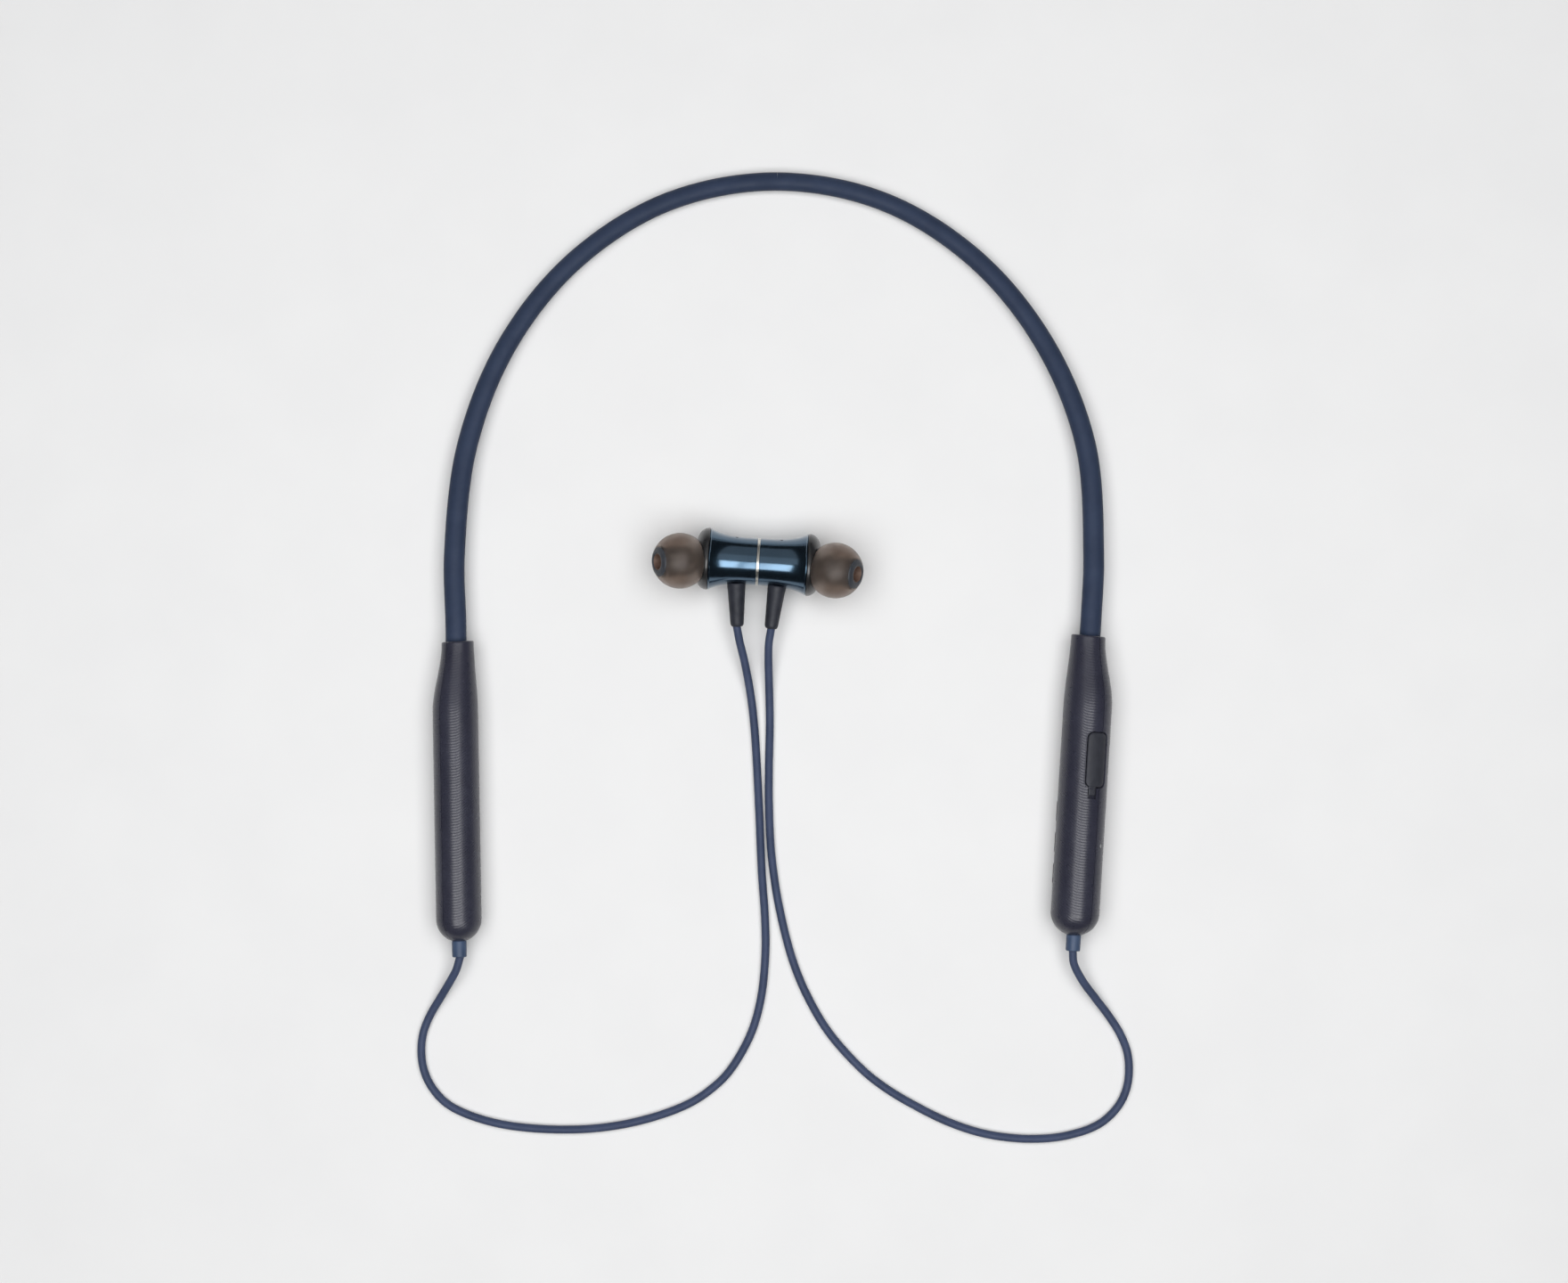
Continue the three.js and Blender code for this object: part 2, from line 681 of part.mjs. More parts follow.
// Points on a ball about the tip's middle, between two angles from its widest ring.
function ballSteps(radius, from, to, steps) {
  const points = [];
  for (let i = 0; i <= steps; i += 1) {
    const turn = degrees(from + (to - from) * i / steps);
    points.push([radius * Math.cos(turn), tip.middle + radius * Math.sin(turn)]);
  }
  return points;
}

// A soft tip: a domed skirt folded back from the end of a thick core with a bore.
function earTip() {
  const coreBore = nozzle.barbRadius + clearance;
  const boreEnd = nozzle.end + 2 * clearance;
  const inner = tip.radius - tip.skirt;
  const foldAngle = THREE.MathUtils.radToDeg(Math.acos(tip.coreRadius / inner));
  const outside = ballSteps(tip.radius, tip.openAngle, tip.lipAngle, 9);
  const lipTop = outside[outside.length - 1][1];
  const lipRound = 0.2;
  const profile = [
    ...outside,
    [tip.holeRadius, lipTop - lipRound], [tip.holeRadius, boreEnd], [coreBore, boreEnd],
    [coreBore, tip.coreBottom], [tip.coreRadius, tip.coreBottom],
    ...ballSteps(inner, foldAngle, tip.openAngle, 5),
  ];
  return turnedRing(profile);
}

function bootPiece(side) {
  const lean = degrees(boot.lean);
  const droop = degrees(boot.droop);
  const along = new THREE.Vector3(
    -side * Math.sin(lean) * Math.cos(droop), -Math.cos(lean) * Math.cos(droop), -Math.sin(droop));
  const profile = [
    [0, 0], [boot.topRadius, 0], [boot.endRadius + 0.1, boot.length - 0.5],
    [boot.endRadius - 0.25, boot.length], [0, boot.length],
  ];
  const start = -housingRadius(boot.place) - clearance - boot.tiltGap;
  return turned(profile, smallSides)
    .applyQuaternion(new THREE.Quaternion().setFromUnitVectors(lengthwise, along))
    .translate(side * boot.place, start, 0);
}

const magnetSize = { radius: 3.6, bottom: 2, top: 4 };
const driverSize = { radius: 4.5, magnetRadius: 2.6, bottom: 5.2, basket: 6.6, top: 8.4 };
const cone = { bottom: 8.7, edge: 9.0, dome: 9.5, domeRadius: 2.4 };
const screen = { sunk: 0.3, thickness: 0.3, gap: 0.1 };

function driverPiece() {
  const { radius, magnetRadius, bottom, basket, top } = driverSize;
  return turned([
    [0, bottom], [magnetRadius, bottom], [magnetRadius, basket], [radius, basket],
    [radius, top], [0, top],
  ], smallSides);
}

function diaphragmPiece() {
  const { bottom, edge, dome, domeRadius } = cone;
  return turned([
    [0, bottom + 0.2], [driverSize.radius, bottom], [driverSize.radius, edge],
    [domeRadius, dome], [0, dome + 0.1],
  ], smallSides);
}

function earbudPieces(side, name) {
  const magnet = rod(magnetSize.radius, magnetSize.bottom, magnetSize.top);
  const screenTop = nozzle.end - screen.sunk;
  const mesh = rod(nozzle.bore - screen.gap, screenTop - screen.thickness, screenTop);
  return [
    named(`${name}_housing`, 'blueMetal', onAxis(side, housingRing())),
    named(`${name}_back_plate`, 'paleMetal', onAxis(side, backPlate())),
    named(`${name}_magnet`, 'steel', onAxis(side, magnet)),
    named(`${name}_driver`, 'steel', onAxis(side, driverPiece())),
    named(`${name}_diaphragm`, 'clearPlastic', onAxis(side, diaphragmPiece())),
    named(`${name}_front_cover`, 'coverPlastic', frontCover(side)),
    named(`${name}_nozzle_mesh`, 'steel', onNozzle(side, mesh)),
    named(`${name}_ear_tip`, 'smokedSilicone', onNozzle(side, earTip())),
    named(`${name}_boot`, 'blackRubber', bootPiece(side)),
  ];
}

function earbuds() {
  const holder = group(...earbudPieces(leftArm.side, 'left'), ...earbudPieces(rightArm.side, 'right'));
  holder.position.set(...earbud.middle);
  holder.rotation.z = degrees(earbud.lean);
  return holder;
}

// ---- cables -------------------------------------------------------------------------------

function cable(name, route) {
  return named(name, 'navySilicone', swept(oval(2 * cableRadius, 2 * cableRadius, 8), route, cableSteps));
}

export default group(
  neckband(),
  batteryBarrel(),
  controlBarrel(),
  earbuds(),
  cable('left_cable', leftCableRoute),
  cable('right_cable', rightCableRoute),
);
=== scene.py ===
import math

import bmesh
import bpy
from mathutils import Matrix, Vector

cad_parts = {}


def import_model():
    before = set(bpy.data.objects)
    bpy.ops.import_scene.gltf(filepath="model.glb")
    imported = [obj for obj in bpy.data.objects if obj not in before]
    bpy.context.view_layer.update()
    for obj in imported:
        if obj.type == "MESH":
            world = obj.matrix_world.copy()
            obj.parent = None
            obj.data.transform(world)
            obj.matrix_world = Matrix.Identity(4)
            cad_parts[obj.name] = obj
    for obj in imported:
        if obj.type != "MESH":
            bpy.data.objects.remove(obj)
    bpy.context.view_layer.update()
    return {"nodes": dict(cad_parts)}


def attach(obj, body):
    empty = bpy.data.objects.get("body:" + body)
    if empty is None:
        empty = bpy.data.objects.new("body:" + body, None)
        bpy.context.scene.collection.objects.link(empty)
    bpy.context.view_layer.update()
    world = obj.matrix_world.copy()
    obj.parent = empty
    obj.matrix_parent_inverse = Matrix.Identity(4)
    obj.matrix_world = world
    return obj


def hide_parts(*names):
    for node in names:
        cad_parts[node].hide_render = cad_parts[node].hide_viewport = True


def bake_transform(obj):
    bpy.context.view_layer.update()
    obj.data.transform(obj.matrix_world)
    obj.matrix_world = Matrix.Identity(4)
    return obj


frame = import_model()

# Lengths below are in millimetres, scaled to metres when a mesh is made. Named angles are in degrees.
MM = 0.001

# ---- sizes shared with the CAD model ---------------------------------------------------------

BARREL_LENGTH = 67.4
BARREL_WALL = 1.3
END_LENGTH = 5.2
TAPER_LENGTH = 16
COLLAR_INSET = 0.8
RIM_ROUND = 0.4
SEAM_ANGLE = 37
BORE_RADIUS = 2.75
BORE_INSET = 0.45
BORE_BOTTOM = 53.5

ARMS = {
    "left": {"side": -1, "end": (-70.5, -85.0), "lean": 0.97, "radius": 5.1, "collar": 3.6},
    "right": {"side": 1, "end": (67.4, -83.6), "lean": -3.49, "radius": 5.45, "collar": 3.85},
}

FLAP = {"angle": 26, "middle": 39.8, "width": 5.0, "length": 12.3, "corner": 1.4, "tab_shift": -0.8}
KEY_ANGLE = -118
KEY_PLACES = {"volume_down": 13.6, "play": 20.6, "volume_up": 27.6}
KEY_WIDTH = 2.0
KEY_LENGTH = 5.4
KEY_RISE = 0.3
MARK_SIZE = (0.25, 1.1)
LIGHT_ANGLE = 57
LIGHT_PLACE = 20.6
MICROPHONE_PLACE = 8.3

BUDS_MIDDLE = (-3.4, 0.23, 7.0)
BUDS_LEAN = -3.6
BACK_RADIUS = 5.3
FRONT_RADIUS = 6.9
HOUSING_LENGTH = 10.9
HOUSING_FLARE = 3.6
NOZZLE_PIVOT = 9.42
NOZZLE_RISE = 30
NOZZLE_SWING = 7
NOZZLE_START = 3.2
NOZZLE_END = 11.0
TIP_RADIUS = 6.2
TIP_MIDDLE = 9.2
VENT_PLACE = 5.0
VENT_ANGLE = 18
BOOT_PLACE = 4.5

CABLE_RADIUS = 0.9
CABLE_HIDDEN = 0.7
CABLE_STEP = 0.6

BAND_STEP = 0.9
SLEEVE_DEPTH = 7.4
SLEEVE_HALF_HEIGHT = 1.8
SLEEVE_HALF_WIDTH = 2.08
SLEEVE_WIDENING = 0.28
CORE_DEPTH = 13.8
CORE_SHIFT = 0.75
WIRE_RADIUS = 0.45
LEAD_RADIUS = 0.5

BAND_ROUTE = [
    (-71.6, 1.8, 4.9), (-68.8, 26.4, 4.2), (-60.0, 49.0, 3.2), (-45.0, 68.0, 2.4),
    (-24.3, 81.3, 2.0), (0, 86.1, 1.9), (24.5, 81.7, 2.0), (45.5, 68.6, 2.5),
    (60.9, 49.6, 3.4), (70.1, 26.8, 4.5), (71.9, 1.7, 5.2),
]

LEFT_CABLE_ROUTE = [
    (-70.4, -88.7, 5.1), (-71.2, -91.3, 4.7), (-72.9, -94.4, 3.6), (-75.3, -98.3, 2.1),
    (-77.6, -102.2, 1.15), (-79.1, -106.2, 0.95), (-79.5, -110.2, 0.95), (-78.9, -114.4, 0.95),
    (-77.0, -118.4, 0.95), (-73.2, -122.3, 0.95), (-62.8, -126.3, 0.95), (-46.0, -127.8, 0.95),
    (-32.2, -126.3, 0.95), (-19.8, -122.3, 0.95), (-13.6, -118.3, 0.95), (-9.7, -114.3, 0.95),
    (-5.1, -106.2, 0.95), (-2.8, -98.1, 0.95), (-1.8, -88.0, 0.95), (-1.9, -80.0, 0.95),
    (-2.6, -70.0, 0.95), (-3.3, -54.0, 0.95), (-4.2, -38.0, 0.95), (-5.1, -29.8, 1.6),
    (-6.5, -22.0, 3.9), (-7.5, -17.9, 5.2), (-8.1, -14.75, 5.7),
]
RIGHT_CABLE_ROUTE = [
    (67.2, -87.3, 5.45), (67.4, -89.7, 5.2), (69.4, -93.7, 4.1), (72.5, -97.9, 2.6),
    (75.7, -102.1, 1.4), (78.3, -106.2, 0.95), (79.9, -110.3, 0.95), (80.3, -114.3, 0.95),
    (79.8, -118.3, 0.95), (78.0, -122.3, 0.95), (73.8, -126.4, 0.95), (66.5, -129.1, 0.95),
    (57.7, -129.9, 0.95), (48.0, -128.8, 0.95), (39.8, -126.2, 0.95), (31.6, -122.2, 0.95),
    (25.0, -118.2, 0.95), (20.0, -114.2, 0.95), (12.7, -106.1, 0.95), (7.9, -98.1, 0.95),
    (4.5, -90.0, 0.95), (1.4, -78.0, 0.95), (-0.4, -66.0, 0.95), (-1.0, -54.0, 0.95),
    (-1.0, -46.0, 0.95), (-0.8, -36.0, 0.95), (-0.95, -28.0, 1.7), (-1.1, -21.5, 3.9),
    (-1.0, -18.0, 5.1), (-0.57, -15.25, 5.7),
]

# ---- curves and outlines ---------------------------------------------------------------------


def smoothstep(value):
    t = min(max(value, 0.0), 1.0)
    return t * t * (3 - 2 * t)


def spline(points, step):
    """A centripetal Catmull-Rom curve through the points, sampled about every step."""
    p = [Vector(q) for q in points]
    p = [2 * p[0] - p[1], *p, 2 * p[-1] - p[-2]]
    line = []
    for a, b, c, d in zip(p, p[1:], p[2:], p[3:]):
        t1 = (b - a).length ** 0.5
        t2 = t1 + (c - b).length ** 0.5
        t3 = t2 + (d - c).length ** 0.5
        count = max(2, round((c - b).length / step))
        for i in range(count):
            t = t1 + (t2 - t1) * i / count
            a1 = a * ((t1 - t) / t1) + b * (t / t1)
            a2 = b * ((t2 - t) / (t2 - t1)) + c * ((t - t1) / (t2 - t1))
            a3 = c * ((t3 - t) / (t3 - t2)) + d * ((t - t2) / (t3 - t2))
            b1 = a1 * ((t2 - t) / t2) + a2 * (t / t2)
            b2 = a2 * ((t3 - t) / (t3 - t1)) + a3 * ((t - t1) / (t3 - t1))
            line.append(b1 * ((t2 - t) / (t2 - t1)) + b2 * ((t - t1) / (t2 - t1)))
    line.append(p[-2])
    return line


def filleted(points, radius, steps=4):
    """The same outline with each corner between its ends rounded off."""
    most_of_a_side = 0.45
    p = [Vector(q) for q in points]
    line = [p[0]]
    for a, b, c in zip(p, p[1:], p[2:]):
        shorter = min((a - b).length, (c - b).length)
        reach = min(radius, most_of_a_side * shorter)
        start = b + (a - b).normalized() * reach
        end = b + (c - b).normalized() * reach
        for i in range(steps + 1):
            t = i / steps
            line.append(start * (1 - t) ** 2 + b * (2 * t * (1 - t)) + end * t * t)
    line.append(p[-1])
    return [tuple(q) for q in line]


def rounded_rectangle(width, length, corner, steps=6):
    """Points round a rectangle with round corners, about its middle."""
    corner = max(corner, 0.001)
    points = []
    for turn, (sx, sy) in enumerate([(1, 1), (-1, 1), (-1, -1), (1, -1)]):
        cx = sx * (width / 2 - corner)
        cy = sy * (length / 2 - corner)
        for i in range(steps + 1):
            angle = math.pi / 2 * (turn + i / steps)
            points.append((cx + corner * math.cos(angle), cy + corner * math.sin(angle)))
    return points


# ---- meshes ----------------------------------------------------------------------------------


def piece(name, verts, faces, material, place=Matrix.Identity(4), sharp=40):
    """A mesh object from points in millimetres, moved by place, with its faces turned outwards."""
    weld_metres = 1e-7
    mesh = bpy.data.meshes.new(name)
    mesh.from_pydata([(place @ Vector(v)) * MM for v in verts], [], faces)
    bm = bmesh.new()
    bm.from_mesh(mesh)
    bmesh.ops.remove_doubles(bm, verts=bm.verts, dist=weld_metres)
    bmesh.ops.recalc_face_normals(bm, faces=bm.faces)
    bm.to_mesh(mesh)
    bm.free()
    obj = bpy.data.objects.new(name, mesh)
    bpy.context.scene.collection.objects.link(obj)
    shade(obj, sharp)
    if material:
        mesh.materials.append(material)
    return obj


def shade(obj, sharp):
    """Smooth shading, with edges sharper than that many degrees left sharp."""
    for face in obj.data.polygons:
        face.use_smooth = True
    obj.data.set_sharp_from_angle(angle=math.radians(sharp))


def skin(rings, closed=False, ends=True):
    """Points and faces of a surface through rings of equal size; closed joins the last to the first."""
    size = len(rings[0])
    verts = [v for ring in rings for v in ring]
    faces = []
    for i in range(len(rings) if closed else len(rings) - 1):
        low = i * size
        high = (i + 1) % len(rings) * size
        for j in range(size):
            k = (j + 1) % size
            faces.append((low + j, low + k, high + k, high + j))
    if ends and not closed:
        faces.append(tuple(range(size)))
        faces.append(tuple(range(len(verts) - size, len(verts))))
    return verts, faces


def turned(name, profile, material, place, segments=96, closed=False, sharp=40):
    """A solid of revolution about Y from (radius, height) points."""
    tiny = 1e-4
    rings = []
    for r, y in profile:
        r = max(r, tiny)
        rings.append([
            (r * math.sin(2 * math.pi * j / segments), y, r * math.cos(2 * math.pi * j / segments))
            for j in range(segments)
        ])
    return piece(name, *skin(rings, closed=closed), material, place, sharp)


def tube(name, line, section, material):
    """A tube along a line; section(share) gives its half height and half width along the way."""
    sides = 24
    turns = [2 * math.pi * j / sides for j in range(sides)]
    rings = []
    total = len(line) - 1
    for i, point in enumerate(line):
        ahead = line[min(i + 1, total)] - line[max(i - 1, 0)]
        forward = ahead.normalized()
        across = forward.cross(Vector((0, 0, 1))).normalized()
        up = across.cross(forward)
        high, wide = section(i / total)
        rings.append([
            point + across * (wide * math.sin(turn)) + up * (high * math.cos(turn)) for turn in turns
        ])
    return piece(name, *skin(rings), material)


def joined(obj, *others):
    """Puts the other objects' meshes into obj as separate bodies and removes them."""
    bm = bmesh.new()
    bm.from_mesh(obj.data)
    for other in others:
        material = other.data.materials[0]
        if material.name not in obj.data.materials:
            obj.data.materials.append(material)
        slot = obj.data.materials.find(material.name)
        before = len(bm.faces)
        bm.from_mesh(other.data)
        bm.faces.ensure_lookup_table()
        for face in bm.faces[before:]:
            face.material_index = slot
        bpy.data.objects.remove(other)
    bm.to_mesh(obj.data)
    bm.free()
    return obj


def cut(obj, cutter, operation="DIFFERENCE", sharp=40):
    """Cuts obj by cutter, an object that is then removed."""
    modifier = obj.modifiers.new("cut", "BOOLEAN")
    modifier.operation = operation
    modifier.solver = "EXACT"
    modifier.object = cutter
    graph = bpy.context.evaluated_depsgraph_get()
    mesh = bpy.data.meshes.new_from_object(obj.evaluated_get(graph))
    obj.modifiers.clear()
    obj.data = mesh
    bpy.data.objects.remove(cutter)
    shade(obj, sharp)
    return obj


# ---- places ----------------------------------------------------------------------------------


def arm_place(arm):
    """The barrel's own place: the origin at its round end, Y along its axis towards its collar."""
    x, y = arm["end"]
    turn = Matrix.Rotation(math.radians(arm["lean"]), 4, "Z")
    return Matrix.Translation((x, y, arm["radius"])) @ turn


def facing(arm, angle):
    """Turns straight up to an angle round the barrel, towards the outside where it is positive."""
    return arm_place(arm) @ Matrix.Rotation(math.radians(arm["side"] * angle), 4, "Y")


def buds_place():
    """The place of the pair of earbuds: the origin between their backs, X along their axis."""
    turn = Matrix.Rotation(math.radians(BUDS_LEAN), 4, "Z")
    return Matrix.Translation(BUDS_MIDDLE) @ turn


def on_axis(side):
    """Lays a solid turned about Y along one housing's axis."""
    return buds_place() @ Matrix.Rotation(-side * math.pi / 2, 4, "Z")


def on_nozzle(side):
    """Lays a solid turned about Y along one nozzle's axis."""
    rise = math.radians(NOZZLE_RISE)
    swing = math.radians(NOZZLE_SWING)
    way = Vector((
        side * math.cos(rise) * math.cos(swing), -math.cos(rise) * math.sin(swing), math.sin(rise)))
    turn = Vector((0, 1, 0)).rotation_difference(way).to_matrix().to_4x4()
    return buds_place() @ Matrix.Translation((side * NOZZLE_PIVOT, 0, 0)) @ turn


# ---- materials -------------------------------------------------------------------------------


class Surface:
    """A principled material whose colour, roughness and bump come from noise in object space."""

    def __init__(self, name, roughness=0.5, metallic=0.0, **inputs):
        self.material = bpy.data.materials.new(name)
        self.material.use_nodes = True
        self.tree = self.material.node_tree
        self.shader = self.tree.nodes["Principled BSDF"]
        self.shader.inputs["Roughness"].default_value = roughness
        self.shader.inputs["Metallic"].default_value = metallic
        for socket, value in inputs.items():
            self.shader.inputs[socket.replace("_", " ")].default_value = value
        self.place = self.node("ShaderNodeTexCoord").outputs["Object"]
        self.height = None

    def node(self, kind, **settings):
        made = self.tree.nodes.new(kind)
        for key, value in settings.items():
            setattr(made, key, value)
        return made

    def noise(self, size, detail=3.0, stretch=None):
        """Noise with blobs of about the size in millimetres; stretch scales its axes."""
        texture = self.node("ShaderNodeTexNoise")
        texture.inputs["Scale"].default_value = 1 / (size * MM)
        texture.inputs["Detail"].default_value = detail
        place = self.place
        if stretch:
            mapping = self.node("ShaderNodeMapping")
            mapping.inputs["Scale"].default_value = stretch
            self.tree.links.new(place, mapping.inputs["Vector"])
            place = mapping.outputs["Vector"]
        self.tree.links.new(place, texture.inputs["Vector"])
        return texture.outputs["Fac"]

    def ramp(self, source, low, high, start=0.35, end=0.65):
        """Maps a texture's values from start to end to colours between low and high."""
        ramp = self.node("ShaderNodeValToRGB")
        ramp.color_ramp.elements[0].position = start
        ramp.color_ramp.elements[0].color = (*low, 1)
        ramp.color_ramp.elements[1].position = end
        ramp.color_ramp.elements[1].color = (*high, 1)
        self.tree.links.new(source, ramp.inputs["Fac"])
        return ramp.outputs["Color"]

    def spread(self, source, low, high):
        """Maps a texture's middle range to values between low and high."""
        span = self.node("ShaderNodeMapRange")
        span.inputs["From Min"].default_value = 0.3
        span.inputs["From Max"].default_value = 0.7
        span.inputs["To Min"].default_value = low
        span.inputs["To Max"].default_value = high
        self.tree.links.new(source, span.inputs["Value"])
        return span.outputs["Result"]

    def colour(self, low, high, size, start=0.35, end=0.65):
        ramp = self.ramp(self.noise(size), low, high, start, end)
        self.tree.links.new(ramp, self.shader.inputs["Base Color"])
        return self

    def rough(self, low, high, size):
        spread = self.spread(self.noise(size), low, high)
        self.tree.links.new(spread, self.shader.inputs["Roughness"])
        return self

    def bump(self, size, depth, detail=1.0, stretch=None):
        """Adds a bump of that depth in millimetres."""
        bump = self.node("ShaderNodeBump")
        bump.inputs["Strength"].default_value = 1.0
        bump.inputs["Distance"].default_value = depth * MM
        self.tree.links.new(self.noise(size, detail, stretch), bump.inputs["Height"])
        if self.height:
            self.tree.links.new(self.height, bump.inputs["Normal"])
        self.height = bump.outputs["Normal"]
        self.tree.links.new(self.height, self.shader.inputs["Normal"])
        return self


def band_silicone():
    surface = Surface("band_silicone", Specular_IOR_Level=0.2, Sheen_Weight=0.04, Sheen_Roughness=0.5)
    surface.colour((0.021, 0.033, 0.067), (0.026, 0.04, 0.079), 6).rough(0.5, 0.62, 2.5)
    return surface.bump(0.7, 0.012).material


def cable_silicone():
    surface = Surface("cable_silicone", Specular_IOR_Level=0.25, Sheen_Weight=0.05, Sheen_Roughness=0.5)
    surface.colour((0.036, 0.052, 0.105), (0.045, 0.063, 0.125), 5).rough(0.5, 0.62, 2)
    return surface.bump(0.6, 0.01).material


def grommet_silicone():
    surface = Surface("grommet_silicone", Specular_IOR_Level=0.4)
    surface.colour((0.036, 0.062, 0.12), (0.046, 0.077, 0.145), 3).rough(0.45, 0.58, 1.5)
    return surface.bump(0.6, 0.008).material


def barrel_plastic():
    surface = Surface("barrel_plastic", Specular_IOR_Level=0.5)
    surface.colour((0.025, 0.0255, 0.041), (0.031, 0.032, 0.05), 8).rough(0.26, 0.34, 1.5)
    return surface.bump(0.7, 0.003).material


def key_plastic():
    surface = Surface("key_plastic", Specular_IOR_Level=0.5)
    surface.colour((0.016, 0.017, 0.024), (0.021, 0.022, 0.031), 2).rough(0.3, 0.4, 0.8)
    return surface.bump(0.6, 0.003).material


def flap_rubber():
    surface = Surface("flap_rubber", Specular_IOR_Level=0.4)
    surface.colour((0.02, 0.022, 0.03), (0.026, 0.028, 0.038), 2).rough(0.5, 0.62, 1)
    return surface.bump(0.6, 0.006).material


def boot_rubber():
    surface = Surface("boot_rubber", Specular_IOR_Level=0.32)
    surface.colour((0.016, 0.018, 0.026), (0.023, 0.0255, 0.035), 2.5).rough(0.46, 0.6, 1.2)
    return surface.bump(0.6, 0.008).material


def blue_metal():
    surface = Surface("blue_metal", metallic=1.0, Coat_Weight=0.8, Coat_Roughness=0.12)
    surface.colour((0.05, 0.1, 0.155), (0.06, 0.115, 0.175), 5).rough(0.16, 0.21, 1.5)
    return surface.bump(0.5, 0.0012).material


def pale_metal():
    surface = Surface("pale_metal", metallic=1.0)
    surface.colour((0.72, 0.7, 0.64), (0.8, 0.78, 0.72), 2).rough(0.24, 0.36, 0.6)
    return surface.bump(0.5, 0.002, stretch=(1, 1, 0.2)).material


def cover_plastic():
    surface = Surface("cover_plastic", Coat_Weight=0.3, Coat_Roughness=0.15)
    surface.colour((0.011, 0.0112, 0.012), (0.017, 0.0172, 0.0185), 3).rough(0.26, 0.36, 1)
    return surface.bump(0.7, 0.003).material


def tip_silicone():
    surface = Surface("tip_silicone", Transmission_Weight=0.92, IOR=1.22, Specular_IOR_Level=0.1)
    surface.colour((0.42, 0.35, 0.31), (0.5, 0.42, 0.37), 2.5).rough(0.3, 0.4, 1)
    return surface.bump(0.8, 0.006).material


def tip_core():
    surface = Surface("tip_core", Specular_IOR_Level=0.35)
    surface.colour((0.03, 0.034, 0.042), (0.042, 0.046, 0.056), 1.2).rough(0.4, 0.52, 0.8)
    return surface.bump(0.2, 0.006).material


def tip_liner():
    surface = Surface("tip_liner", Specular_IOR_Level=0.3)
    surface.colour((0.1, 0.06, 0.045), (0.13, 0.08, 0.06), 1).rough(0.45, 0.6, 0.6)
    return surface.bump(0.2, 0.006).material


def mesh_steel():
    surface = Surface("mesh_steel", metallic=1.0)
    surface.colour((0.3, 0.2, 0.12), (0.4, 0.28, 0.17), 0.5).rough(0.35, 0.5, 0.4)
    return surface.bump(0.15, 0.01).material


def plain_steel():
    surface = Surface("plain_steel", metallic=1.0)
    surface.colour((0.5, 0.51, 0.53), (0.6, 0.61, 0.63), 1.5).rough(0.22, 0.4, 0.7)
    return surface.bump(0.3, 0.004, stretch=(1, 0.15, 1)).material


def circuit_board():
    surface = Surface("circuit_board", Coat_Weight=0.4, Coat_Roughness=0.2)
    surface.colour((0.004, 0.07, 0.03), (0.012, 0.14, 0.055), 0.6, 0.46, 0.54).rough(0.3, 0.45, 0.5)
    return surface.bump(0.4, 0.02).material


def cell_wrap():
    surface = Surface("cell_wrap", Coat_Weight=0.5, Coat_Roughness=0.12)
    surface.colour((0.04, 0.13, 0.36), (0.055, 0.17, 0.43), 3).rough(0.28, 0.4, 1.5)
    return surface.bump(1.2, 0.03, stretch=(1, 0.3, 1)).material


def foam():
    surface = Surface("foam", Specular_IOR_Level=0.2)
    surface.colour((0.008, 0.008, 0.009), (0.03, 0.03, 0.032), 0.25).rough(0.85, 0.98, 0.3)
    return surface.bump(0.2, 0.08, detail=6).material


def clear_plastic():
    surface = Surface("clear_plastic", Transmission_Weight=0.7, IOR=1.49)
    surface.colour((0.75, 0.78, 0.82), (0.85, 0.87, 0.9), 1).rough(0.12, 0.25, 0.5)
    return surface.bump(0.2, 0.004).material


def brass():
    surface = Surface("brass", metallic=1.0)
    surface.colour((0.6, 0.42, 0.16), (0.72, 0.52, 0.22), 0.8).rough(0.25, 0.4, 0.5)
    return surface.bump(0.2, 0.006, stretch=(1, 1, 0.2)).material


def wire_insulation():
    surface = Surface("wire_insulation")
    surface.colour((0.02, 0.02, 0.023), (0.035, 0.035, 0.04), 1.5).rough(0.35, 0.5, 0.8)
    return surface.bump(0.2, 0.006).material


def floor_paper():
    surface = Surface("floor_paper", Specular_IOR_Level=0.1)
    surface.colour((0.83, 0.83, 0.832), (0.845, 0.845, 0.846), 25).rough(0.85, 0.95, 10)
    return surface.bump(1.5, 0.004).material


BAND = band_silicone()
CABLE = cable_silicone()
GROMMET = grommet_silicone()
BARREL = barrel_plastic()
KEY = key_plastic()
FLAP_RUBBER = flap_rubber()
BOOT = boot_rubber()
BLUE = blue_metal()
PALE = pale_metal()
COVER = cover_plastic()
TIP = tip_silicone()
TIP_CORE = tip_core()
TIP_LINER = tip_liner()
MESH = mesh_steel()
STEEL = plain_steel()

# ---- camera ----------------------------------------------------------------------------------

CAMERA_HEIGHT = 700
CAMERA_OVER = (2.4, -17.6)
CAMERA_LENS = 71.08


def camera():
    """A camera that looks straight down."""
    data = bpy.data.cameras.new("camera")
    data.sensor_width = 36
    data.lens = CAMERA_LENS
    data.clip_start = 0.01
    obj = bpy.data.objects.new("camera", data)
    obj.location = Vector((*CAMERA_OVER, CAMERA_HEIGHT)) * MM
    bpy.context.scene.collection.objects.link(obj)
    bpy.context.scene.camera = obj


camera()

# ---- cables ----------------------------------------------------------------------------------


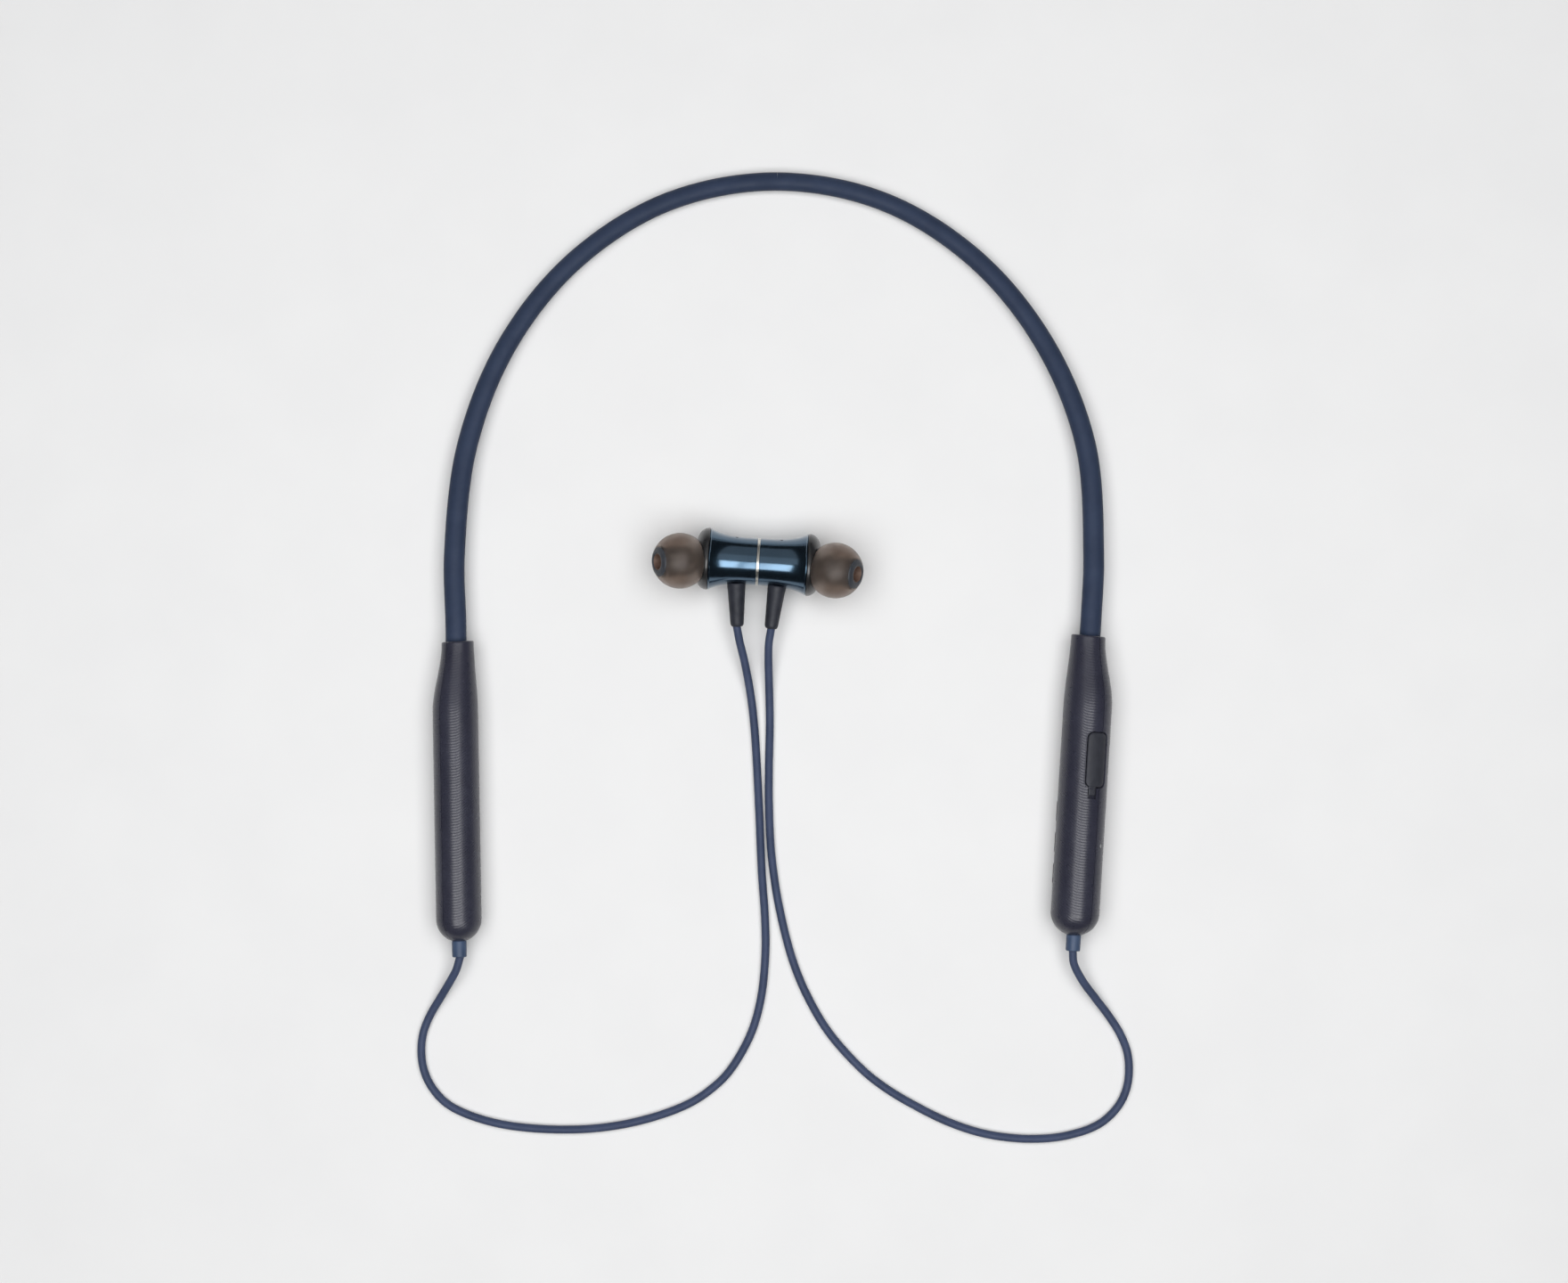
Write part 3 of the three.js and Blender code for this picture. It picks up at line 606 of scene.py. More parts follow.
def extended(route, reach):
    """The route run on in a straight line at both ends, into the grommet and the boot."""
    p = [Vector(q) for q in route]
    first = p[0] + (p[0] - p[1]).normalized() * reach
    last = p[-1] + (p[-1] - p[-2]).normalized() * reach
    return [first, *p, last]


def round_section(radius):
    """A tube's section that stays round and of one size."""
    return lambda share: (radius, radius)


def cable(side, route):
    """One cable, from inside its grommet to inside its boot."""
    line = spline(extended(route, CABLE_HIDDEN), CABLE_STEP)
    obj = tube(f"{side}_cable_run", line, round_section(CABLE_RADIUS), CABLE)
    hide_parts(f"{side}_cable")
    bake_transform(obj)


cable("left", LEFT_CABLE_ROUTE)
cable("right", RIGHT_CABLE_ROUTE)

# ---- neckband --------------------------------------------------------------------------------


def in_bore(arm, height):
    """A point on the axis of the neckband's bore, by its height up the barrel."""
    return arm_place(arm) @ Vector((-arm["side"] * BORE_INSET, height, 0))


def band_line(depth):
    """The band's middle line, which starts and ends at that depth inside the barrels' bores."""
    straight = 5
    heights = [
        BARREL_LENGTH - depth, BARREL_LENGTH - depth / 2, BARREL_LENGTH, BARREL_LENGTH + straight]
    left = [in_bore(ARMS["left"], height) for height in heights]
    right = [in_bore(ARMS["right"], height) for height in heights]
    return spline([*left, *BAND_ROUTE, *reversed(right)], BAND_STEP)


def band_pieces(name, node, depth, section, material, shift=0.0):
    """One strand of the neckband as two pieces that meet at the crown."""
    line = band_line(depth)
    if shift:
        line = sideways(line, shift)
    crown = max(range(len(line)), key=lambda i: line[i].y)
    halves = {"left": line[:crown + 1][::-1], "right": line[crown:]}
    for side, half in halves.items():
        obj = tube(f"{name}_{side}", half, section, material)
        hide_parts(node)
        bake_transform(obj)


def sideways(line, shift):
    """The line moved level and square to itself."""
    moved = []
    last = len(line) - 1
    for i, point in enumerate(line):
        forward = (line[min(i + 1, last)] - line[max(i - 1, 0)]).normalized()
        moved.append(point + forward.cross(Vector((0, 0, 1))).normalized() * shift)
    return moved


def sleeve_section(share):
    """Half height and half width of the sleeve, from the crown to just before its end."""
    haste = 1.1
    return SLEEVE_HALF_HEIGHT, SLEEVE_HALF_WIDTH + SLEEVE_WIDENING * smoothstep(share * haste)


band_pieces("neckband_sleeve", "neckband_sleeve", SLEEVE_DEPTH, sleeve_section, BAND)
band_pieces("spring_wire", "memory_wire", CORE_DEPTH, round_section(WIRE_RADIUS), STEEL,
            -CORE_SHIFT)
band_pieces("bridging_lead", "bridge_lead", CORE_DEPTH, round_section(LEAD_RADIUS), wire_insulation(),
            CORE_SHIFT)

# ---- barrel shells ---------------------------------------------------------------------------

RIB_PITCH = 0.62
RIB_DEPTH = 0.028
SWEPT_DEPTH = 0.06
SWEPT_BLEND = 20
RIB_SAMPLES = 5
SWEEP_START = 9
SWEEP_SOFTNESS = 9
SWEEP_SLOPE = 0.75
SEAM_GAP = 0.12
RIM_SLANT = 2
SLANT_LENGTH = 8
CABLE_HOLE = 1.4
# How far from the barrel's end and from its rim the ribs are gone, and the length that they fade over.
FADE_AT_END = (5.0, 2.0)
FADE_AT_RIM = (1.6, 1.5)


def barrel_base(arm):
    """The barrel's plain outline as (radius, height) points, from its round end to its rim."""
    radius = arm["radius"]
    collar = arm["collar"]
    end_steps = 32
    taper_steps = 64
    rim_steps = 8
    line = []
    for i in range(end_steps + 1):
        turn = math.pi / 2 * i / end_steps
        line.append((radius * math.sin(turn), END_LENGTH * (1 - math.cos(turn))))
    bottom = BARREL_LENGTH - TAPER_LENGTH
    for i in range(taper_steps + 1):
        share = i / taper_steps
        y = bottom + (TAPER_LENGTH - RIM_ROUND) * share
        line.append((radius + (collar - radius) * smoothstep(share), y))
    for i in range(1, rim_steps + 1):
        turn = math.pi / 2 * i / rim_steps
        line.append((
            collar - RIM_ROUND * (1 - math.cos(turn)),
            BARREL_LENGTH - RIM_ROUND * (1 - math.sin(turn))))
    return line


def resampled(line, step):
    """Points every step along the line, each with its distance along it."""
    points = [Vector(q) for q in line]
    out = []
    at = 0.0
    wanted = 0.0
    for a, b in zip(points, points[1:]):
        length = (b - a).length
        while length > 0 and wanted <= at + length:
            out.append((a.lerp(b, (wanted - at) / length), wanted))
            wanted += step
        at += length
    out.append((points[-1], at))
    return out, at


def rib_sweep(arm, angle):
    """How far the ribs climb the barrel at an angle round it: on the inner side they sweep up."""
    inner = math.radians(-angle - SWEEP_START)
    soft = math.radians(SWEEP_SOFTNESS)
    return SWEEP_SLOPE * arm["radius"] * (inner + math.hypot(inner, soft)) / 2


def outer_rows(arm, angles):
    """Rows of points round the barrel's outside, with fine ribs that fade out at both ends."""
    samples, total = resampled(barrel_base(arm), RIB_PITCH / RIB_SAMPLES)
    rows = []
    for i, (point, along) in enumerate(samples):
        if point.x < CABLE_HOLE + 0.1:
            continue
        before = samples[max(i - 1, 0)][0]
        after = samples[min(i + 1, len(samples) - 1)][0]
        forward = (after - before).normalized()
        outward = Vector((forward.y, -forward.x))
        fade = smoothstep((along - FADE_AT_END[0]) / FADE_AT_END[1])
        fade *= smoothstep((total - FADE_AT_RIM[0] - along) / FADE_AT_RIM[1])
        row = []
        for angle in angles:
            turns = (along - rib_sweep(arm, angle)) / RIB_PITCH
            swept = smoothstep((-angle - SWEEP_START) / SWEPT_BLEND)
            depth = RIB_DEPTH + (SWEPT_DEPTH - RIB_DEPTH) * swept
            sunk = depth * fade * 0.5 * (1 - math.cos(2 * math.pi * turns))
            row.append(point - outward * sunk)
        rows.append(row)
    return rows


def chamber(arm):
    """The inside of the barrel as (radius, height) points, from the cable hole to the rim."""
    inside = arm["radius"] - BARREL_WALL
    points = [
        (CABLE_HOLE, 0.5), (CABLE_HOLE, BARREL_WALL + 0.4), (2.4, BARREL_WALL + 0.4),
        (inside * 0.8, BARREL_WALL + 1.6), (inside, END_LENGTH + 0.6), (inside, BORE_BOTTOM - 2),
        (BORE_RADIUS, BORE_BOTTOM), (BORE_RADIUS, BARREL_LENGTH),
    ]
    samples, _ = resampled(filleted(points, 0.6), RIB_PITCH)
    return [q for q, _ in samples]


def outer_shift(arm, y):
    """How far the outside moves inwards towards the collar."""
    return -arm["side"] * COLLAR_INSET * smoothstep((y - BARREL_LENGTH + TAPER_LENGTH) / TAPER_LENGTH)


def inner_shift(arm, y):
    """How far the bore sits inwards from the barrel's axis."""
    return -arm["side"] * BORE_INSET * smoothstep(y - BORE_BOTTOM + 1)


def wall_strip(first, second):
    """Triangles between two lines of (point number, key) whose keys climb side by side."""
    faces = []
    i = j = 0
    while i < len(first) - 1 or j < len(second) - 1:
        step_first = j == len(second) - 1 or (
            i < len(first) - 1 and first[i + 1][1] <= second[j + 1][1])
        if step_first:
            faces.append((first[i][0], first[i + 1][0], second[j][0]))
            i += 1
        else:
            faces.append((first[i][0], second[j + 1][0], second[j][0]))
            j += 1
    return faces


def climb(point):
    """What orders the points of a wall's two edges, also where an edge runs square to the barrel."""
    return point.y + 0.4 * point.x


def shell_angles(facing_in):
    """Angles across one half shell, close together where the ribs sweep."""
    usual_radius = 5.3
    half_gap = math.degrees(SEAM_GAP / 2 / usual_radius)
    if not facing_in:
        steps = 38
        return [SEAM_ANGLE + half_gap + (180 - 2 * half_gap) * k / steps for k in range(steps + 1)]
    low = SEAM_ANGLE - 180 + half_gap
    high = SEAM_ANGLE - half_gap
    sweep_end = -104
    sweep_start = -8
    spans = [(low, sweep_end, 10), (sweep_end, sweep_start, 70), (sweep_start, high, 12)]
    angles = [start + (end - start) * k / steps for start, end, steps in spans for k in range(steps)]
    return [*angles, high]


def half_shell(name, arm, facing_in):
    """One half of a barrel: ribbed outside, plain inside, open at the cable hole and the bore."""
    angles = shell_angles(facing_in)
    steps = len(angles) - 1
    outside = outer_rows(arm, angles)
    inside = [[q] * len(angles) for q in chamber(arm)]
    points = []
    grids = []
    for rows, shift in ((outside, outer_shift), (inside, inner_shift)):
        grid = []
        for row in rows:
            numbers = []
            for q, angle in zip(row, angles):
                turn = math.radians(angle)
                x = arm["side"] * q.x * math.sin(turn) + shift(arm, q.y)
                near_rim = smoothstep((q.y - BARREL_LENGTH + SLANT_LENGTH) / SLANT_LENGTH)
                slant = math.tan(math.radians(RIM_SLANT)) * near_rim
                numbers.append(len(points))
                points.append((x, q.y - arm["side"] * x * slant, q.x * math.cos(turn)))
            grid.append(numbers)
        grids.append(grid)
    faces = []
    for grid in grids:
        for a, b in zip(grid, grid[1:]):
            faces += [(a[k], a[k + 1], b[k + 1], b[k]) for k in range(steps)]
    for end in (0, -1):
        a, b = grids[0][end], grids[1][end]
        faces += [(a[k], a[k + 1], b[k + 1], b[k]) for k in range(steps)]
    for k in (0, steps):
        edges = []
        for rows, grid in zip((outside, inside), grids):
            edges.append([(numbers[k], climb(row[k])) for row, numbers in zip(rows, grid)])
        faces += wall_strip(*edges)
    return piece(name, points, faces, BARREL, arm_place(arm))


PAD_SLIT = 0.02


def wrapped_pad(outline, levels, y, barrel_radius, x=0.0):
    """Points and faces of a pad laid round the barrel: levels are (inset, distance from the axis)."""
    rings = []
    for inset, r in levels:
        ring = []
        for px, py in outline(inset):
            angle = (px + x) / barrel_radius
            ring.append((r * math.sin(angle), y + py, r * math.cos(angle)))
        rings.append(ring)
    return skin(rings)


def pad_outline(width, length, corner):
    """A function that gives the pad's rounded outline, drawn in by an inset."""
    return lambda inset: rounded_rectangle(width - 2 * inset, length - 2 * inset, corner - inset)


def filled(levels, half_width):
    """Adds rings that close the last level's face, all but a slit along its middle line."""
    inset, r = levels[-1]
    steps = 5
    rest = half_width - PAD_SLIT - inset
    return levels + [(inset + rest * i / steps, r) for i in range(1, steps + 1)]


def closed_levels(half_width, bottom, top):
    """A straight-sided pad with both its faces filled in."""
    low = [(half_width - PAD_SLIT, bottom), (half_width / 2, bottom), (0, bottom)]
    return filled([*low, (0, top)], half_width)


CUT_FROM = 2.6
CUT_TO = 7


def pocket_cutters(arm):
    """The flap's seat, the slot of its tab and the window to the charging socket."""
    place = facing(arm, FLAP["angle"])
    room = 0.16
    radius = arm["radius"]
    width, length = FLAP["width"] + 2 * room, FLAP["length"] + 2 * room
    low, high = radius - 0.85, radius + 1
    seat = wrapped_pad(pad_outline(width, length, FLAP["corner"] + room),
                       closed_levels(width / 2, low, high), FLAP["middle"], radius)
    slot_middle = FLAP["middle"] - FLAP["length"] / 2 - 1.0
    slot = wrapped_pad(pad_outline(2.1, 3.0, 0.3), closed_levels(1.05, low, high),
                       slot_middle, radius, FLAP["tab_shift"])
    window = wrapped_pad(pad_outline(2.5, 8.3, 1.2), closed_levels(1.25, 2.0, radius),
                         FLAP["middle"], radius)
    return [piece("cutter", *shape, None, place) for shape in (seat, slot, window)]


def key_cutters(arm):
    """The wells that the three keys sit in."""
    place = facing(arm, KEY_ANGLE)
    room = 0.14
    outline = pad_outline(KEY_WIDTH + 2 * room, KEY_LENGTH + 2 * room, KEY_WIDTH / 2 + room - 0.01)
    levels = closed_levels(KEY_WIDTH / 2 + room, CUT_FROM, arm["radius"] + 1)
    return [
        piece("cutter", *wrapped_pad(outline, levels, y, arm["radius"]), None, place)
        for y in KEY_PLACES.values()
    ]


def port_cutter(arm, angle, y, radius):
    """A round hole through the wall at an angle round the barrel."""
    place = facing(arm, angle) @ Matrix.Translation((0, y, 0)) @ Matrix.Rotation(math.pi / 2, 4, "X")
    profile = [(0, CUT_FROM), (radius, CUT_FROM), (radius, CUT_TO), (0, CUT_TO)]
    return turned("cutter", profile, None, place, segments=24)


def right_cutters(facing_in):
    """What is cut from each half of the control barrel, next to the neck and away from it."""
    arm = ARMS["right"]
    if facing_in:
        ports = [*key_cutters(arm), port_cutter(arm, KEY_ANGLE, MICROPHONE_PLACE, 0.4)]
    else:
        ports = [port_cutter(arm, LIGHT_ANGLE, LIGHT_PLACE, 0.5)]
    return [*pocket_cutters(arm), *ports]


def barrel_shells(side):
    """Both half shells of one barrel."""
    arm = ARMS[side]
    for half, facing_in in (("inner", True), ("outer", False)):
        obj = half_shell(f"{side}_{half}_half", arm, facing_in)
        if side == "right":
            for cutter in right_cutters(facing_in):
                cut(obj, cutter)
        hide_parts(f"{side}_{half}_shell")
        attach(obj, f"{side}_arm")


barrel_shells("left")
barrel_shells("right")


def grommet(side):
    """The collar round a cable: a short sleeve outside, a groove for the wall and a flange inside."""
    profile = filleted([
        (0, -3.4), (1.62, -3.4), (1.65, -0.1), (1.62, 0.3),
        (1.1, 0.35), (1.1, 2.0), (1.9, 2.0), (1.9, 2.9), (0, 2.9),
    ], 0.28)
    obj = turned(f"{side}_grommet", profile, GROMMET, arm_place(ARMS[side]), segments=64)
    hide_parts(f"{side}_cable_grommet")
    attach(obj, f"{side}_arm")


grommet("left")
grommet("right")

# ---- charging flap and keys ------------------------------------------------------------------


def port_rim():
    """A thin raised lip round the flap's seat."""
    arm = ARMS["right"]
    radius = arm["radius"]
    outline = pad_outline(FLAP["width"], FLAP["length"], FLAP["corner"])
    section = [
        (-0.17, radius - 0.3), (-0.17, radius), (-0.23, radius + 0.05),
        (-0.33, radius + 0.05), (-0.4, radius - 0.02), (-0.42, radius - 0.3),
    ]
    rings = []
    for inset, r in section:
        rings.append([
            (r * math.sin(px / radius), FLAP["middle"] + py, r * math.cos(px / radius))
            for px, py in outline(inset)])
    obj = piece("port_rim", *skin(rings, closed=True), BARREL, facing(arm, FLAP["angle"]))
    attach(obj, "right_arm")


def flap_lid(under, top, radius):
    """The lid, laid round the barrel, with a rounded top edge."""
    half = FLAP["width"] / 2
    levels = [
        (half - PAD_SLIT, under), (half / 2, under), (0.05, under), (0, radius - 0.5),
        (0, top - 0.3), (0.06, top - 0.14), (0.2, top - 0.03), (0.42, top), (0.8, top + 0.015),
    ]
    outline = pad_outline(FLAP["width"], FLAP["length"], FLAP["corner"])
    return wrapped_pad(outline, filled(levels, half), FLAP["middle"], radius)


def flap_tab(under, top, radius):
    """The tab at the lid's end, about which it swings."""
    levels = [
        (0.88, under), (0.4, under), (0.04, under), (0, radius - 0.5),
        (0, top - 0.2), (0.06, top - 0.1), (0.2, top - 0.05),
    ]
    middle = FLAP["middle"] - FLAP["length"] / 2 - 0.7
    outline = pad_outline(1.8, 2.2, 0.3)
    return wrapped_pad(outline, filled(levels, 0.9), middle, radius, FLAP["tab_shift"])


def flap_boss(radius):
    """The block under the lid that reaches into the charging socket's window."""
    bottom = 3.0
    levels = [(0.93, bottom), (0.5, bottom), (0.12, bottom), (0, bottom + 0.12), (0, radius - 0.5)]
    return wrapped_pad(pad_outline(1.9, 7.4, 0.9), filled(levels, 0.95), FLAP["middle"], radius)


def flap():
    """The rubber flap over the charging socket: its lid, its hinge tab and its boss."""
    arm = ARMS["right"]
    radius = arm["radius"]
    place = facing(arm, FLAP["angle"])
    under = radius - 0.55
    top = radius + 0.02
    obj = piece("port_flap", *flap_lid(under, top, radius), FLAP_RUBBER, place)
    tab = piece("tab", *flap_tab(under, top, radius), FLAP_RUBBER, place)
    boss = piece("boss", *flap_boss(radius), FLAP_RUBBER, place)
    joined(obj, tab, boss)
    shade(obj, 40)
    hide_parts("usb_flap")
    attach(obj, "charging_flap")


def raised_bar(width, length, y, turn, arm, top):
    """A small raised bar on a key's top, straight or turned across."""
    wide, long = (length, width) if turn else (width, length)
    half = min(wide, long) / 2
    levels = [(half - PAD_SLIT, top - 0.05), (0, top - 0.05), (0, top + 0.04), (0.04, top + 0.07)]
    outline = pad_outline(wide, long, half - 0.01)
    shape = wrapped_pad(outline, filled(levels, half), y, arm["radius"])
    return piece("bar", *shape, KEY, facing(arm, KEY_ANGLE))


def key(use):
    """A key cap with a generic raised mark: plus, minus, or a bar for play."""
    arm = ARMS["right"]
    radius = arm["radius"]
    y = KEY_PLACES[use]
    half = KEY_WIDTH / 2
    bottom = 3.0
    top = radius + KEY_RISE
    levels = [
        (half - PAD_SLIT, bottom), (half / 2, bottom), (0, bottom),
        (0, top - 0.22), (0.05, top - 0.1), (0.18, top - 0.02), (0.4, top),
    ]
    outline = pad_outline(KEY_WIDTH, KEY_LENGTH, half - 0.01)
    shape = wrapped_pad(outline, filled(levels, half), y, radius)
    obj = piece(f"{use}_cap", *shape, KEY, facing(arm, KEY_ANGLE))
    marks = [raised_bar(*MARK_SIZE, y, use == "play", arm, top)]
    if use == "volume_up":
        marks.append(raised_bar(*MARK_SIZE, y, True, arm, top + 0.005))
    joined(obj, *marks)
    shade(obj, 40)
    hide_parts(f"{use}_key")
    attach(obj, f"{use}_button")


port_rim()
flap()
for use in KEY_PLACES:
    key(use)

# ---- earbuds ---------------------------------------------------------------------------------


def housing_radius(place):
    """The housing's radius at a distance from its back: nearly straight, then flaring."""
    return BACK_RADIUS + (FRONT_RADIUS - BACK_RADIUS) * (place / HOUSING_LENGTH) ** HOUSING_FLARE


def housing(side, name):
    """The waisted metal barrel of one earbud, with a small vent on its top side."""
    wall = 0.7
    back = 0.28
    front = HOUSING_LENGTH + 0.08
    places = [back + 0.3 + (HOUSING_LENGTH - 0.9) * i / 40 for i in range(41)]
    outside = [(BACK_RADIUS - 0.08, back), (BACK_RADIUS, back + 0.08)]
    outside += [(housing_radius(place), place) for place in places]
    outside += [
        (FRONT_RADIUS - 0.01, front - 0.3), (FRONT_RADIUS - 0.06, front - 0.1),
        (FRONT_RADIUS - 0.2, front),
    ]
    inside = [(FRONT_RADIUS - wall - 0.1, front), (FRONT_RADIUS - wall - 0.15, front - 1)]
    inside += [(housing_radius(5) - wall, 5), (BACK_RADIUS - wall, back)]
    obj = turned(f"{name}_barrel", outside + inside, BLUE, on_axis(side), closed=True, sharp=30)
    tilt = Matrix.Rotation(math.radians(VENT_ANGLE), 4, "X")
    vent_place = buds_place() @ Matrix.Translation((side * VENT_PLACE, 0, 0)) @ tilt
    vent = turned("cutter", [(0, 4), (0.3, 4), (0.3, 8), (0, 8)], None, vent_place, segments=24)
    cut(obj, vent, sharp=30)
    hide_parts(f"{name}_housing")
    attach(obj, f"{name}_earbud")


def back_disc(side, name):
    """The pale plate on one earbud's back, with a step that sits inside the housing."""
    gap = 0.012
    thickness = 0.26
    profile = filleted([
        (0, gap), (BACK_RADIUS - 0.05, gap), (BACK_RADIUS - 0.02, thickness),
        (4.3, thickness), (4.3, 1.4), (0, 1.4),
    ], 0.05, 3)
    obj = turned(f"{name}_back_disc", profile, PALE, on_axis(side))
    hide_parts(f"{name}_back_plate")
    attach(obj, f"{name}_earbud")


def front_cover(side, name):
    """The dark domed front of one earbud and its nozzle, as two closed bodies in one piece."""
    base = HOUSING_LENGTH + 0.12
    rim = FRONT_RADIUS + 0.05
    flat = 4.0
    dome = [(5.9, base), (rim - 0.1, base), (rim, base + 0.12)]
    dome += [
        (flat + (rim - flat) * math.cos(turn), base + 0.2 + 2.5 * math.sin(turn))
        for turn in map(math.radians, range(0, 91, 6))
    ]
    dome += [
        (2.0, base + 2.75), (0, base + 2.78), (0, base + 1.9), (3.0, base + 1.8), (5.9, base + 0.6),
    ]
    obj = turned(f"{name}_cover", dome, COVER, on_axis(side))
    outline = filleted([
        (1.6, NOZZLE_START), (2.3, NOZZLE_START), (2.3, NOZZLE_END - 1.7), (2.6, NOZZLE_END - 1.3),
        (2.35, NOZZLE_END - 0.1), (2.2, NOZZLE_END), (1.75, NOZZLE_END), (1.6, NOZZLE_END - 0.2),
        (1.6, NOZZLE_START),
    ], 0.12, 3)
    nozzle = turned("nozzle", outline[:-1], COVER, on_nozzle(side), segments=64, closed=True)
    joined(obj, nozzle)
    shade(obj, 40)
    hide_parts(f"{name}_front_cover")
    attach(obj, f"{name}_earbud")


def nozzle_screen(side, name):
    """A round screen of crossed wires in the nozzle's end."""
    radius = 1.5
    wire = 0.07
    pitch = 0.3
    place = on_nozzle(side) @ Matrix.Translation((0, NOZZLE_END - 0.45, 0))
    shapes = []
    count = int(radius / pitch)
    for level, turn in ((0, 0), (2 * wire, 90)):
        for i in range(-count, count + 1):
            reach = math.sqrt(radius ** 2 - (i * pitch) ** 2)
            turned_round = place @ Matrix.Rotation(math.radians(turn), 4, "Y")
            middle = turned_round @ Matrix.Translation((i * pitch, level, 0))
            lying = middle @ Matrix.Rotation(math.pi / 2, 4, "X")
            bar = [(0, -reach), (wire, -reach), (wire, reach), (0, reach)]
            shapes.append(turned("bar", bar, MESH, lying, segments=8))
    ring = [(radius - 0.1, -0.1), (radius, -0.1), (radius, 0.25), (radius - 0.1, 0.25)]
    shapes.append(turned("ring", ring, MESH, place, segments=48, closed=True))
    obj = shapes[0]
    obj.name = f"{name}_screen"
    joined(obj, *shapes[1:])
    shade(obj, 40)
    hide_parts(f"{name}_nozzle_mesh")
    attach(obj, f"{name}_earbud")


def ball(radius, start, end, steps):
    """Points of the ear tip's outline on a ball, between two angles from its widest ring."""
    turns = [math.radians(start + (end - start) * i / steps) for i in range(steps + 1)]
    return [(radius * math.cos(turn), TIP_MIDDLE + radius * math.sin(turn)) for turn in turns]


def ear_tip(side, name):
    """A soft tip: a thin clear skirt round the darker core that grips the nozzle."""
    wall = 0.55
    core = 3.3
    hole = 1.65
    skirt = ball(TIP_RADIUS, -32, 57, 32)
    skirt += [(core - 0.12, TIP_MIDDLE + 5.1), (core - 0.12, TIP_MIDDLE + 4.5)]
    skirt += ball(TIP_RADIUS - wall, 52, -30, 28)
    skirt += [(TIP_RADIUS * 0.79, 5.85)]
    obj = turned(f"{name}_tip_dome", skirt, TIP, on_nozzle(side), closed=True, sharp=60)
    end = TIP_MIDDLE + 5.15
    outline = filleted([
        (2.72, 6.9), (core, 6.9), (core, end + 0.12), (2.9, end + 0.42), (2.3, end + 0.62),
        (1.95, end + 0.6), (hole + 0.14, end + 0.45), (hole + 0.14, NOZZLE_END + 0.6),
        (2.72, NOZZLE_END + 0.5), (2.72, 6.9),
    ], 0.25, 3)
    grip = turned("grip", outline[:-1], TIP_CORE, on_nozzle(side), segments=64, closed=True)
    liner = turned("liner", [
        (hole, NOZZLE_END + 0.8), (hole + 0.16, NOZZLE_END + 0.8), (hole + 0.16, end + 0.5),
        (hole + 0.08, end + 0.54), (hole, end + 0.45),
    ], TIP_LINER, on_nozzle(side), segments=64, closed=True)
    joined(obj, grip, liner)
    shade(obj, 60)
    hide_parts(f"{name}_ear_tip")
    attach(obj, f"{name}_tip")


def boot(side, name):
    """The tapered rubber sleeve where the cable leaves the housing."""
    lean = math.radians(4.5)
    droop = math.radians(8)
    way = Vector((
        -side * math.sin(lean) * math.cos(droop), -math.cos(lean) * math.cos(droop), -math.sin(droop)))
    turn = Vector((0, 1, 0)).rotation_difference(way).to_matrix().to_4x4()
    start = -housing_radius(BOOT_PLACE) - 0.45
    place = buds_place() @ Matrix.Translation((side * BOOT_PLACE, start, 0)) @ turn
    profile = filleted([
        (0, -0.9), (2.05, -0.9), (2.05, 0.1), (1.98, 0.6),
        (1.5, 8.45), (1.25, 8.95), (0.95, 9.0), (0.95, 8.6), (0, 8.6),
    ], 0.25)
    obj = turned(f"{name}_cable_boot", profile, BOOT, place, segments=64)
    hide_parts(f"{name}_boot")
    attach(obj, f"{name}_earbud")


for name in ARMS:
    side = ARMS[name]["side"]
    housing(side, name)
    back_disc(side, name)
    front_cover(side, name)
    nozzle_screen(side, name)
    ear_tip(side, name)
    boot(side, name)

# ---- inner parts that stay as the CAD made them ----------------------------------------------

